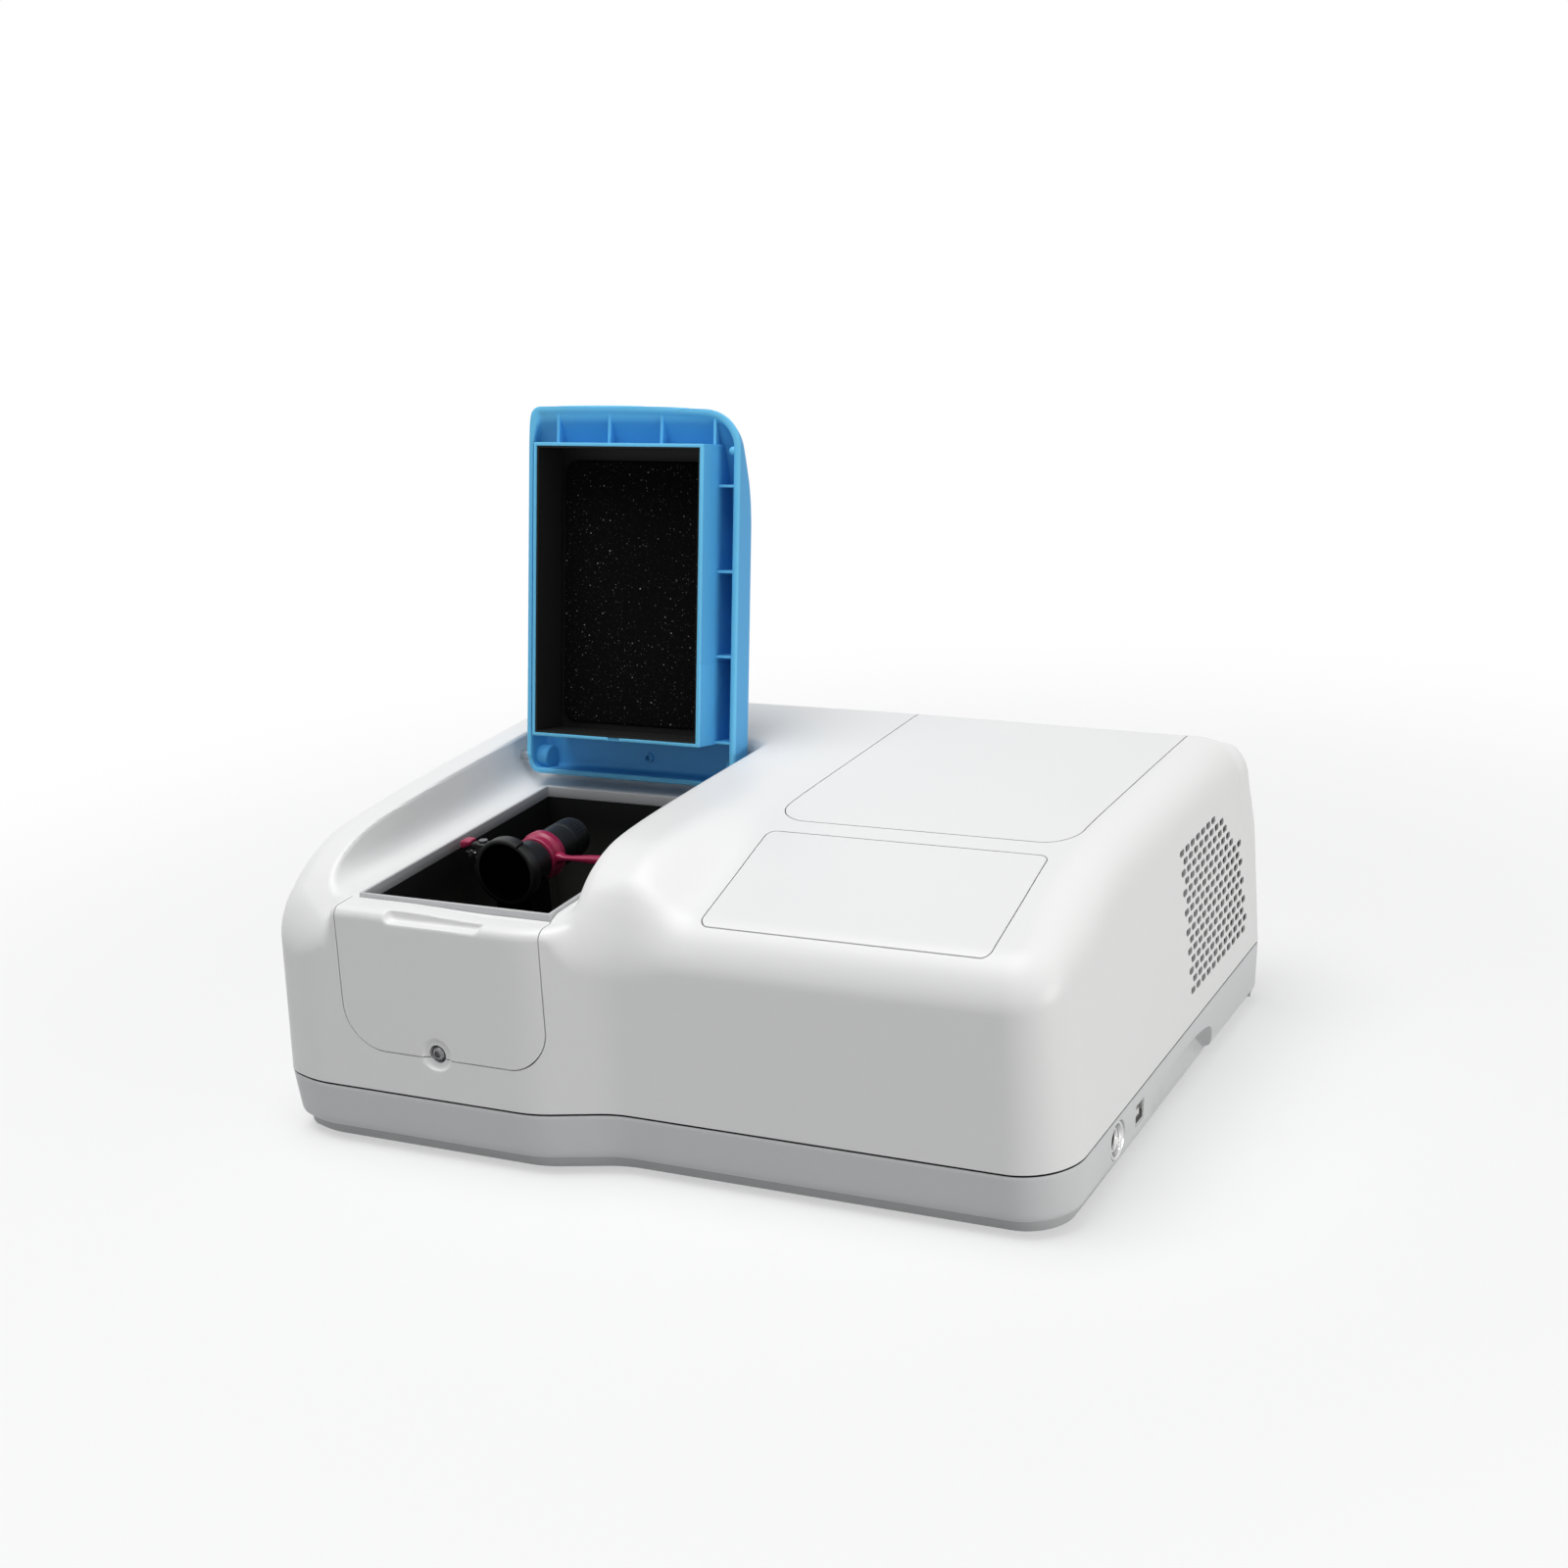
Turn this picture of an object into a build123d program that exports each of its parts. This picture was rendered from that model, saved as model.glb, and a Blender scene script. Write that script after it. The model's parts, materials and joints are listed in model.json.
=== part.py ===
from build123d import *
import math
import os

# The instrument is laid out in millimetres from its front face line (y = 0), with z = 0 at the
# parting line between the white cover and the grey base. Every node is moved by TO_FRAME when it
# is written, so that the part's origin is at the middle of the rectangle it covers, on the bench.
LEFT_X = -235
RIGHT_X = 236
REAR_Y = 334
BULGE = 15
FOOT_BOTTOM_Z = -38
TO_FRAME = Location((-(LEFT_X + RIGHT_X) / 2, -(REAR_Y - BULGE) / 2, -FOOT_BOTTOM_Z))

# Upper cover
WALL = 3
DRAFT = 3
TOP_Z = 134
TOP_ROUND = 14
RIGHT_TAPER = 2.5
REAR_ROUND = 16
RIDGE_RIGHT_X = 4
SLOPE_LEFT_X = 33
LEFT_KNEE_Y = 45
LEFT_FRONT_Z = 75
RIGHT_KNEE_Y = 122
RIGHT_FRONT_Z = 94
FRONT_Y = -30
SEAM = 0.6

# Well that the lid closes into, and the sample compartment under it
DECK_Z = 105
WELL_LEFT_X = -195
WELL_RIGHT_X = -40.5
WELL_REAR_Y = 231.5
WELL_LEAN_LEFT = 5
WELL_LEAN_RIGHT = 1.2
COLLAR_LEFT_X = -175.5
COLLAR_RIGHT_X = -51.2
COLLAR_FRONT_Y = 8.5
COLLAR_REAR_Y = 203.5
COLLAR_TOP_Z = 106.8
COLLAR_SEAT_Z = 99.8
COLLAR_WALL = 1.8
LINER_FLOOR_Z = 20
GAP = 0.3
LIP_ROUND = 6

# Removable front panel and its screw
PANEL_LEFT_X = -179.8
PANEL_RIGHT_X = -50.8
PANEL_BOTTOM_Z = 24
SCREW_X = -120
SCREW_Z = 26
DISH_RADIUS = 9
DISH_FLOOR_Y = -12.2

# Lid, drawn closed and then swung open about the hinge pins
HINGE_Y = 217
HINGE_Z = 120.5
LID_SWING = 102
LID_LEFT_X = -188.3
LID_RIGHT_X = -43.2
LID_FRONT_Y = 0
LID_REAR_Y = 226
LID_RIM_Z = 107.2
LID_REAR_RIM_Z = 109.2
LID_TOP_Z = 129
LID_WALL = 2.4
BOX_LEFT_X = -172.8
BOX_RIGHT_X = -56.8
BOX_FRONT_Y = 24
BOX_REAR_Y = 200.4
BOX_RIM_Z = 88.6
BOX_WALL = 2
LID_LINER = 1.2
FOAM_FACE_Z = 114.5
FOAM_BACK_Z = 118
FOAM_FRONT_Y = 34
PIN_RADIUS = 3
BUSH_RADIUS = 4.5
BUSH_BORE = 3.05
BOSS_RADIUS = 7.5

# Base tray
BASE_DRAFT = 5
BAND_BOTTOM_Z = -28
SKIRT_INSET = 7
TRAY_BOTTOM_Z = -35
TRAY_FLOOR_Z = -32
GRIP_FRONT_Y = 146
GRIP_REAR_Y = 242
GRIP_TOP_Z = -19
GRIP_DEPTH = 16

# Micro-volume head in the compartment
HEAD_X = -133
HEAD_Z = 91
DRUM_FRONT_Y = 88
DRUM_RADIUS = 20
DRUM_Z = 94
SHAFT_RADIUS = 5.3
ARM_X = -154.5
ARM_Y = 101
ARM_Z = 101.5
ARM_PIN_RADIUS = 1.6

# Connection panel in the rear wall
REAR_PANEL_Y = 327
INLET_X = -171
SWITCH_X = -119.2
SOCKET_Z = 33

# Sockets in the right side of the base
SOCKET_ROW_Z = -14.5
ROUND_SOCKET_Y = 80
DATA_SOCKET_Y = 115

os.makedirs("parts", exist_ok=True)


def save(node, shape):
    """Write one node in the part's own frame."""
    export_step(TO_FRAME * shape, f"parts/{node}.step")


def block(x0, x1, y0, y1, z0, z1):
    """A box between two corners."""
    return Pos((x0 + x1) / 2, (y0 + y1) / 2, (z0 + z1) / 2) * Box(x1 - x0, y1 - y0, z1 - z0)


def rod(axis, start, radius, length):
    """A cylinder that starts at a point and runs along +X, +Y or +Z."""
    turn = {"x": Rotation(0, 90, 0), "y": Rotation(-90, 0, 0), "z": Rotation(0, 0, 0)}[axis]
    upright = Cylinder(radius, length, align=(Align.CENTER, Align.CENTER, Align.MIN))
    return Location(start) * turn * upright


def tube(axis, start, radius, bore, length):
    """A cylinder with a hole through it."""
    return rod(axis, start, radius, length) - rod(axis, start, bore, length)


def rounded_block(x0, x1, y0, y1, z0, z1, radius):
    """A box with rounded upright edges."""
    plan = RectangleRounded(x1 - x0, y1 - y0, radius)
    return Pos((x0 + x1) / 2, (y0 + y1) / 2, z0) * extrude(plan, amount=z1 - z0)


def outline(inset):
    """The instrument seen from above at the parting line, drawn in by an inset."""
    corners = (
        (LEFT_X, REAR_Y),
        (LEFT_X, -5),
        (-205, -BULGE),
        (-60, -BULGE),
        (-18, 0),
        (RIGHT_X, 0),
        (RIGHT_X - RIGHT_TAPER, REAR_Y),
    )
    radii = (REAR_ROUND, 22, 60, 60, 50, 32, REAR_ROUND)
    face = make_face(FilletPolyline(*corners, radius=radii, close=True))
    return offset(face, amount=-inset) if inset else face


def side_profile(x, front_z, knee_y, drop):
    """Everything under the cover's top, seen from the side, at one place across the width."""
    rear_y = REAR_Y + 30
    points = (
        (x, FRONT_Y, front_z - drop),
        (x, knee_y, TOP_Z - drop),
        (x, rear_y, TOP_Z - drop),
        (x, rear_y, -10),
        (x, FRONT_Y, -10),
    )
    return Face(Wire.make_polygon([Vector(*point) for point in points], close=True))


def under_top(drop):
    """The space under the cover's top: steep nose on the left, long slope on the right."""
    reach = 245
    far_left = side_profile(-reach, LEFT_FRONT_Z, LEFT_KNEE_Y, drop)
    ridge = side_profile(RIDGE_RIGHT_X, LEFT_FRONT_Z, LEFT_KNEE_Y, drop)
    right = side_profile(SLOPE_LEFT_X, RIGHT_FRONT_Z, RIGHT_KNEE_Y, drop)
    steep = Solid.extrude(far_left, Vector(RIDGE_RIGHT_X + reach, 0, 0))
    blend = Solid.make_loft([ridge.outer_wire(), right.outer_wire()], ruled=True)
    slope = Solid.extrude(right, Vector(reach - SLOPE_LEFT_X, 0, 0))
    return steep + blend + slope


def top_edges(body):
    """Edges where the upright sides meet the top."""
    sides = [face for face in body.faces() if abs(face.normal_at(face.center()).Z) < 0.2]
    side_edges = [edge for side in sides for edge in side.edges()]
    upper = [edge for edge in body.edges() if edge.bounding_box().min.Z > 60]
    return [edge for edge in upper if sum(edge.is_same(other) for other in side_edges) == 1]


def deck_lip(drafted, inset):
    """The strip of deck that stands forward of the nose, with its front edge rounded."""
    bar = block(WELL_LEFT_X + inset, WELL_RIGHT_X - inset, FRONT_Y, 20, 60, DECK_Z - inset)
    lip = (drafted & bar).solids()[0]
    front = [edge for edge in lip.edges() if edge.bounding_box().min.Z > DECK_Z - inset - 0.01]
    front = [edge for edge in front if edge.bounding_box().max.Y < 0]
    return lip.fillet(LIP_ROUND - inset, front)


def cover_body(inset):
    """The cover's filled outer form, drawn in by an inset on every side."""
    drafted = extrude(outline(inset), amount=150, taper=DRAFT)
    body = (drafted & under_top(inset)).solids()[0]
    return body.fillet(TOP_ROUND - inset, top_edges(body)) + deck_lip(drafted, inset)


def well(grow):
    """The well for the lid, open at the front, made larger by a wall's thickness."""
    floor_z = DECK_Z - grow
    top_z = 165
    lean = (top_z - DECK_Z) / (TOP_Z - DECK_Z)
    points = (
        (WELL_LEFT_X - grow, FRONT_Y, floor_z),
        (WELL_RIGHT_X + grow, FRONT_Y, floor_z),
        (WELL_RIGHT_X + grow + WELL_LEAN_RIGHT * lean, FRONT_Y, top_z),
        (WELL_LEFT_X - grow - WELL_LEAN_LEFT * lean, FRONT_Y, top_z),
    )
    section = Face(Wire.make_polygon([Vector(*point) for point in points], close=True))
    return Solid.extrude(section, Vector(0, WELL_REAR_Y + grow - FRONT_Y, 0))


def screw_dish():
    """The shallow round recess that the front panel's screw sits in."""
    return rod("y", (SCREW_X, FRONT_Y, SCREW_Z), DISH_RADIUS, DISH_FLOOR_Y - FRONT_Y)


def cover_shell():
    """The thin moulding before it is parted into the cover and its panels."""
    outer = cover_body(0) - well(0) - screw_dish()
    hollow = cover_body(WALL) - well(WALL) - block(-300, 300, FRONT_Y, REAR_Y + 20, -5, 0)
    return outer - hollow


def service_panel_prism(gap):
    """A U-shaped prism through the front wall and the strip of deck behind it."""
    left_x, right_x, bottom_z = PANEL_LEFT_X - gap, PANEL_RIGHT_X + gap, PANEL_BOTTOM_Z - gap
    corners = ((left_x, 0, 120), (left_x, 0, bottom_z), (right_x, 0, bottom_z), (right_x, 0, 120))
    section = make_face(FilletPolyline(*corners, radius=(0, 26, 22, 0), close=True))
    depth = COLLAR_FRONT_Y - GAP - FRONT_Y
    tongue = rod("y", (SCREW_X, FRONT_Y, SCREW_Z), DISH_RADIUS + 1 + gap, depth)
    return Pos(0, FRONT_Y, 0) * Solid.extrude(section.face(), Vector(0, depth, 0)) + tongue


def control_panel_prism(gap):
    """The blank panel on the sloping part of the top."""
    return rounded_block(33.5 - gap, 194.5 + gap, 19 - gap, 103 + gap, 92, 150, 5 + gap)


def lamp_cover_prism(gap):
    """The large panel over the lamps, open towards the rear."""
    return rounded_block(30 - gap, 202 + gap, 116 - gap, REAR_Y + 60, 100 - gap, 150, 18 + gap)


def deck_hole():
    """The opening in the deck for the collar."""
    x0, x1 = COLLAR_LEFT_X - GAP, COLLAR_RIGHT_X + GAP
    y0, y1 = COLLAR_FRONT_Y - GAP, COLLAR_REAR_Y + GAP
    return block(x0, x1, y0, y1, DECK_Z - 10, DECK_Z + 10)


def vent_places():
    """Centres of the vent slots on the right side, in staggered rows."""
    pitch_y, pitch_z = 9.5, 5.7
    places = []
    for row in range(15):
        z = 17 + row * pitch_z
        shift = pitch_y / 2 if row % 2 else 0
        for column in range(11):
            y = 209 + shift + column * pitch_y
            if (y - 262) / 52 + (z - 62) / 44 < 1.05:
                places.append((y, z))
    return places


def vent_slots():
    """One prism for each vent slot, through the right wall."""
    slot = Solid.extrude(SlotOverall(7, 3.1).face(), Vector(0, 0, 24))
    turned = Rotation(0, 90, 0) * Rotation(0, 0, 90) * slot
    return [Pos(216, y, z) * turned for y, z in vent_places()]


def finger_ledge():
    """The ledge cut under the lid's front lip."""
    return block(-147, -86, FRONT_Y, -3.5, 98.5, 110)


def ledge_backing():
    """The solid behind the finger ledge."""
    return block(-150, -83, FRONT_Y, -0.5, 95, DECK_Z)


def make_service_panel(shell, body):
    """The removable front panel with its finger ledge."""
    backing = body & ledge_backing()
    panel = (shell & service_panel_prism(0)) + backing
    panel = panel - finger_ledge() - deck_hole()
    boss = rod("y", (SCREW_X, DISH_FLOOR_Y, SCREW_Z), 5.5, 8)
    return (panel + boss) - rod("y", (SCREW_X, FRONT_Y, SCREW_Z), 2.2, 60)


def service_screw():
    """The screw that holds the front panel, with a hexagon socket."""
    head = rod("y", (SCREW_X, DISH_FLOOR_Y - 2.4, SCREW_Z), 4.3, 2.4)
    shank = rod("y", (SCREW_X, DISH_FLOOR_Y, SCREW_Z), 2.1, 14)
    key = extrude(RegularPolygon(2, 6), amount=1.6)
    socket = Location((SCREW_X, DISH_FLOOR_Y - 2.5, SCREW_Z)) * Rotation(-90, 0, 0) * key
    return head + shank - socket


def make_cover(shell):
    """The white cover with its openings and the seats for the hinge pins."""
    cover = shell
    for prism in (service_panel_prism(SEAM), control_panel_prism(SEAM), lamp_cover_prism(SEAM), deck_hole()):
        cover = cover - prism
    cover = cover - vent_slots()
    left_seat = rod("x", (-206, HINGE_Y, HINGE_Z), 6, 10)
    right_seat = rod("x", (-41, HINGE_Y, HINGE_Z), 6, 9)
    wells = well(0)
    cover = cover + (left_seat - wells) + (right_seat - wells)
    left_bore = rod("x", (-209, HINGE_Y, HINGE_Z), PIN_RADIUS, 20)
    right_bore = rod("x", (-46, HINGE_Y, HINGE_Z), PIN_RADIUS, 20)
    rear_window = block(-205, -75, REAR_Y - 20, REAR_Y + 10, 6, 62)
    return cover - left_bore - right_bore - rear_window


def base_outer():
    """The base's filled outer form: a drafted band over a narrower skirt."""
    upright = extrude(outline(0), amount=-BAND_BOTTOM_Z - SEAM, taper=BASE_DRAFT)
    band = Pos(0, 0, -SEAM) * mirror(upright, Plane.XY)
    skirt = Pos(0, 0, TRAY_BOTTOM_Z) * extrude(outline(SKIRT_INSET), amount=10)
    return band + skirt


def grips(grow):
    """The hand-holds under both sides."""
    front_y, rear_y, top_z = GRIP_FRONT_Y - grow, GRIP_REAR_Y + grow, GRIP_TOP_Z + grow
    right = block(RIGHT_X - GRIP_DEPTH - grow, RIGHT_X + 20, front_y, rear_y, -60, top_z)
    left = block(LEFT_X - 20, LEFT_X + GRIP_DEPTH + grow, front_y, rear_y, -60, top_z)
    return left, right


def make_tray():
    """The grey base moulding with floor, hand-holds and the two sockets' holes."""
    outer = base_outer()
    inner = Pos(0, 0, TRAY_FLOOR_Z) * extrude(outline(SKIRT_INSET + WALL), amount=60)
    tray = outer
    for grip in grips(0):
        tray = tray - grip
    for grip in grips(WALL):
        inner = inner - grip
    tray = tray - inner
    lip = extrude(outline(WALL + 0.5), amount=4) - extrude(outline(WALL + 2.5), amount=4)
    ledge = extrude(outline(WALL + 0.5), amount=6.5) - extrude(outline(SKIRT_INSET + WALL), amount=6.5)
    tray = tray + lip + Pos(0, 0, -6) * ledge
    tray = tray - rod("x", (215, ROUND_SOCKET_Y, SOCKET_ROW_Z), 9, 40)
    tray = tray - rod("x", (231, ROUND_SOCKET_Y, SOCKET_ROW_Z), 10.8, 20)
    return tray - block(215, 260, DATA_SOCKET_Y - 6.5, DATA_SOCKET_Y + 6.5, -20, -8)


def feet():
    """Four rubber feet."""
    places = ((-200, 22), (200, 30), (-200, 305), (200, 305))
    return Compound([rod("z", (x, y, FOOT_BOTTOM_Z), 9, TRAY_BOTTOM_Z - FOOT_BOTTOM_Z) for x, y in places])


def chassis_plate():
    """The sheet-metal plate that carries the inner parts."""
    return rounded_block(-205, 205, 13, 318, TRAY_FLOOR_Z, TRAY_FLOOR_Z + 2, 8)


def collar():
    """The light frame round the mouth of the compartment."""
    x0, x1, y0, y1 = COLLAR_LEFT_X, COLLAR_RIGHT_X, COLLAR_FRONT_Y, COLLAR_REAR_Y
    wall = COLLAR_WALL
    outer = block(x0, x1, y0, y1, COLLAR_SEAT_Z, COLLAR_TOP_Z)
    return outer - block(x0 + wall, x1 - wall, y0 + wall, y1 - wall, COLLAR_SEAT_Z, COLLAR_TOP_Z)


def beam_line():
    """Y and z of the light path across the compartment."""
    return 60, 58


def compartment_liner():
    """The black box under the deck, with a hole on each side for the light."""
    beam_y, beam_z = beam_line()
    x0, x1, y0, y1 = COLLAR_LEFT_X, COLLAR_RIGHT_X, COLLAR_FRONT_Y, COLLAR_REAR_Y
    outer = block(x0 - 2.5, x1 + 2.5, y0 - 2.5, y1 + 2.5, LINER_FLOOR_Z, DECK_Z - WALL - 0.1)
    inner = block(x0 + 2, x1 - 2, y0 + 2, y1 - 2, LINER_FLOOR_Z + 3, DECK_Z)
    seat = block(x0 - 0.2, x1 + 0.2, y0 - 0.2, y1 + 0.2, COLLAR_SEAT_Z, DECK_Z)
    return outer - inner - seat - rod("x", (-200, beam_y, beam_z), 8, 170)


def beam_windows():
    """Quartz discs in the liner's two holes."""
    beam_y, beam_z = beam_line()
    left = rod("x", (COLLAR_LEFT_X - 2.5, beam_y, beam_z), 8, 2)
    right = rod("x", (COLLAR_RIGHT_X + 0.5, beam_y, beam_z), 8, 2)
    return Compound([left, right])


def liner_legs():
    """Pillars from the chassis plate to the liner's floor."""
    places = ((-165, 25), (-67, 25), (-165, 190), (-67, 190))
    height = LINER_FLOOR_Z - TRAY_FLOOR_Z - 2
    return Compound([rod("z", (x, y, TRAY_FLOOR_Z + 2), 5, height) for x, y in places])


def lid_plan(inset):
    """The lid seen from above, with a large rounding at its front right corner."""
    left_x, right_x = LID_LEFT_X + inset, LID_RIGHT_X - inset
    front_y, rear_y = LID_FRONT_Y + inset, LID_REAR_Y - inset
    corners = (
        (left_x, rear_y),
        (left_x, front_y + 2),
        (-120, front_y),
        (right_x, front_y + 5),
        (right_x, rear_y),
    )
    radii = [radius - min(inset, 2) for radius in (8, 7, 300, 22, 8)]
    return make_face(FilletPolyline(*corners, radius=radii, close=True))


def under_lid_top(drop):
    """The space under the lid's top: low lip, slope up, long flat top."""
    left_x, bottom_z, rear_y = -250, 60, LID_REAR_Y + 5
    points = (
        (left_x, -5, bottom_z),
        (left_x, -5, LID_RIM_Z + 0.2 - drop),
        (left_x, 46, LID_TOP_Z - 2.2 - drop),
        (left_x, 72, LID_TOP_Z - drop),
        (left_x, rear_y, LID_TOP_Z - drop),
        (left_x, rear_y, bottom_z),
    )
    section = Face(Wire.make_polygon([Vector(*point) for point in points], close=True))
    return Solid.extrude(section, Vector(250, 0, 0))


def lid_body(inset):
    """The lid's filled outer form, drawn in by an inset."""
    upright = Pos(0, 0, LID_RIM_Z) * extrude(lid_plan(inset), amount=40)
    return (upright & under_lid_top(inset)).solids()[0]


def lid_ribs():
    """Stiffening ribs between the light box and the lid's outer wall."""
    half = 0.8
    z0 = COLLAR_TOP_Z + 0.9
    x0, x1 = BOX_RIGHT_X - 1, LID_RIGHT_X - 1
    front = [block(x - half, x + half, 2, BOX_FRONT_Y + 1, z0, 125) for x in (-172, -135, -97, -60)]
    right = [block(x0, x1, y - half, y + half, z0, 128) for y in (48, 98, 148, 199)]
    return front + right


def light_box(inset, top_z):
    """The upright block of the lid's light box, drawn in by an inset."""
    x0, x1 = BOX_LEFT_X + inset, BOX_RIGHT_X - inset
    y0, y1 = BOX_FRONT_Y + inset, BOX_REAR_Y - inset
    return block(x0, x1, y0, y1, BOX_RIM_Z, top_z)


def make_lid_shell():
    """The blue lid: outer moulding, light box, ribs, screw bosses and hinge bosses."""
    outer = lid_body(0)
    shell = outer - lid_body(LID_WALL)
    walls = light_box(0, 128) - light_box(BOX_WALL, 128)
    lid = shell + (walls & under_lid_top(LID_WALL / 2))
    for rib in lid_ribs():
        lid = lid + (rib & outer)
    for x, y, radius in ((-47.6, 27.6, 3), (-46, 54.8, 1.7)):
        lid = lid + (rod("z", (x, y, LID_RIM_Z), radius, 22) & outer)
    for start in (LID_LEFT_X + 1, LID_RIGHT_X - 9.4):
        lid = lid + (rod("x", (start, HINGE_Y, HINGE_Z), BOSS_RADIUS, 8.4) & outer)
    lid = lid + (tube("z", (-112, 214, 122), 4, 1.6, 6) & outer)
    lid = lid - block(-120, -111, BOX_REAR_Y - 3, BOX_REAR_Y + 1, BOX_RIM_Z - 1, BOX_RIM_Z + 1.4)
    lid = lid - block(-200, -30, HINGE_Y, LID_REAR_Y + 5, LID_RIM_Z - 1, LID_REAR_RIM_Z)
    return lid - rod("x", (LID_LEFT_X - 5, HINGE_Y, HINGE_Z), BUSH_RADIUS, LID_RIGHT_X - LID_LEFT_X + 10)


def lid_bushes():
    """Plain bearings pressed into the lid's hinge bosses."""
    left = tube("x", (LID_LEFT_X, HINGE_Y, HINGE_Z), BUSH_RADIUS, BUSH_BORE, 9.2)
    right = tube("x", (LID_RIGHT_X - 9.2, HINGE_Y, HINGE_Z), BUSH_RADIUS, BUSH_BORE, 9.2)
    return Compound([left, right])


def lid_liner():
    """The thin black tray inside the light box, under the slope of the lid's front."""
    outer = light_box(BOX_WALL, FOAM_BACK_Z + LID_LINER) & under_lid_top(LID_WALL)
    inner = light_box(BOX_WALL + LID_LINER, FOAM_BACK_Z) & under_lid_top(LID_WALL + LID_LINER)
    rim = block(LID_LEFT_X, LID_RIGHT_X, 0, LID_REAR_Y, BOX_RIM_Z - 1, BOX_RIM_Z + 0.8)
    return outer - inner - rim


def lid_foam():
    """The soft light-trap pad on the liner's floor."""
    inset = BOX_WALL + LID_LINER + 0.5
    x0, x1 = BOX_LEFT_X + inset, BOX_RIGHT_X - inset
    return rounded_block(x0, x1, FOAM_FRONT_Y, BOX_REAR_Y - inset, FOAM_FACE_Z, FOAM_BACK_Z, 9)


def hinge_pins():
    """Two steel pins that carry the lid."""
    left = rod("x", (-207, HINGE_Y, HINGE_Z), PIN_RADIUS, 27.5)
    right = rod("x", (-52, HINGE_Y, HINGE_Z), PIN_RADIUS, 22.5)
    return Compound([left, right])


def opened(shape):
    """Swing a lid piece from closed to open about the hinge pins."""
    return Pos(0, HINGE_Y, HINGE_Z) * Rotation(-LID_SWING, 0, 0) * Pos(0, -HINGE_Y, -HINGE_Z) * shape


def cell_block():
    """The black block that holds the micro-volume head in the compartment."""
    foot = block(HEAD_X - 30, HEAD_X + 40, 84, 150, LINER_FLOOR_Z + 3, LINER_FLOOR_Z + 9)
    post = block(HEAD_X - 12, HEAD_X + 12, 94, 114, LINER_FLOOR_Z + 9, HEAD_Z - 8)
    return foot + post


def arch_drum():
    """The round black housing with a raised rim, facing the front."""
    disc = rod("y", (HEAD_X, DRUM_FRONT_Y, DRUM_Z), DRUM_RADIUS, 8)
    recess = rod("y", (HEAD_X, DRUM_FRONT_Y, DRUM_Z), DRUM_RADIUS - 3, 5)
    neck = rod("y", (HEAD_X, DRUM_FRONT_Y + 7.9, HEAD_Z), 13, 23.1)
    groove = block(HEAD_X - 12.2, HEAD_X + 12.2, 93.8, 114.2, 0, HEAD_Z - 8)
    bore = rod("y", (HEAD_X, DRUM_FRONT_Y + 5, HEAD_Z), SHAFT_RADIUS, 40)
    seat = block(ARM_X - 5, HEAD_X - 12.6, ARM_Y - 5.1, ARM_Y + 5.1, HEAD_Z - 1.1, HEAD_Z + 3)
    return disc - recess + neck - groove - bore - seat


def head_shaft():
    """The shaft through the drum that the ring and the barrel sit on."""
    return rod("y", (HEAD_X, DRUM_FRONT_Y + 5.5, HEAD_Z), SHAFT_RADIUS, 69)


def ring_collar():
    """The crimson setting ring, free to turn on the shaft."""
    return tube("y", (HEAD_X, 119.4, HEAD_Z), 14.5, 5.35, 13) - rod("y", (HEAD_X, 119.4, HEAD_Z), 9, 1.5)


def ring_lever():
    """The crimson lever on the ring, reaching to the right."""
    arm = block(HEAD_X + 12, HEAD_X + 52, 122, 128, HEAD_Z - 0.5, HEAD_Z + 3.5)
    tip = rod("y", (HEAD_X + 52, 122, HEAD_Z + 1.5), 4, 6)
    return arm + tip - rod("y", (HEAD_X, 100, HEAD_Z), 14.5, 60)


def barrel():
    """The black knurled barrel behind the ring."""
    body = rod("y", (HEAD_X, 132.8, HEAD_Z), 12.5, 32)
    tail = body.fillet(2, body.edges().filter_by(GeomType.CIRCLE))
    return tail - rod("y", (HEAD_X, 132.8, HEAD_Z), SHAFT_RADIUS, 29.7)


def swing_arm():
    """The dark arm at the drum's left, free to swing about an upright pin."""
    eye = rod("z", (ARM_X, ARM_Y, HEAD_Z + 3.4), 4, ARM_Z + 5 - HEAD_Z - 3.4)
    bar = block(ARM_X - 12, ARM_X, ARM_Y - 2.5, ARM_Y + 2.5, ARM_Z, ARM_Z + 5)
    return eye + bar - rod("z", (ARM_X, ARM_Y, HEAD_Z), ARM_PIN_RADIUS, 30)


def swing_pin():
    """The upright pin of the swinging arm, with its lug on the drum's neck."""
    pin = rod("z", (ARM_X, ARM_Y, HEAD_Z - 1), ARM_PIN_RADIUS - 0.05, ARM_Z + 6 - HEAD_Z)
    head = rod("z", (ARM_X, ARM_Y, ARM_Z + 5.3), 2.6, 1)
    lug = block(ARM_X - 4, HEAD_X - 12.6, ARM_Y - 5, ARM_Y + 5, HEAD_Z - 1, HEAD_Z + 2.9)
    return pin + head + lug


def arm_cap():
    """The crimson cap over the end of the swinging arm."""
    cap = block(ARM_X - 14.3, ARM_X - 12.1, ARM_Y - 3.8, ARM_Y + 3.8, ARM_Z + 1, ARM_Z + 6)
    top = block(ARM_X - 14.3, ARM_X - 7, ARM_Y - 3.8, ARM_Y + 3.8, ARM_Z + 5.1, ARM_Z + 6.4)
    return cap + top


def contact_pins():
    """Two polished pins under the arm that pick up the drop of sample."""
    places = (ARM_X - 10.6, ARM_X - 6.1)
    pins = [rod("z", (x, ARM_Y, ARM_Z - 5), 1.3, 4.9) for x in places]
    collars = [rod("z", (x, ARM_Y, ARM_Z - 2), 1.9, 0.8) for x in places]
    return Compound([pin + collar for pin, collar in zip(pins, collars)])


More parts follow.
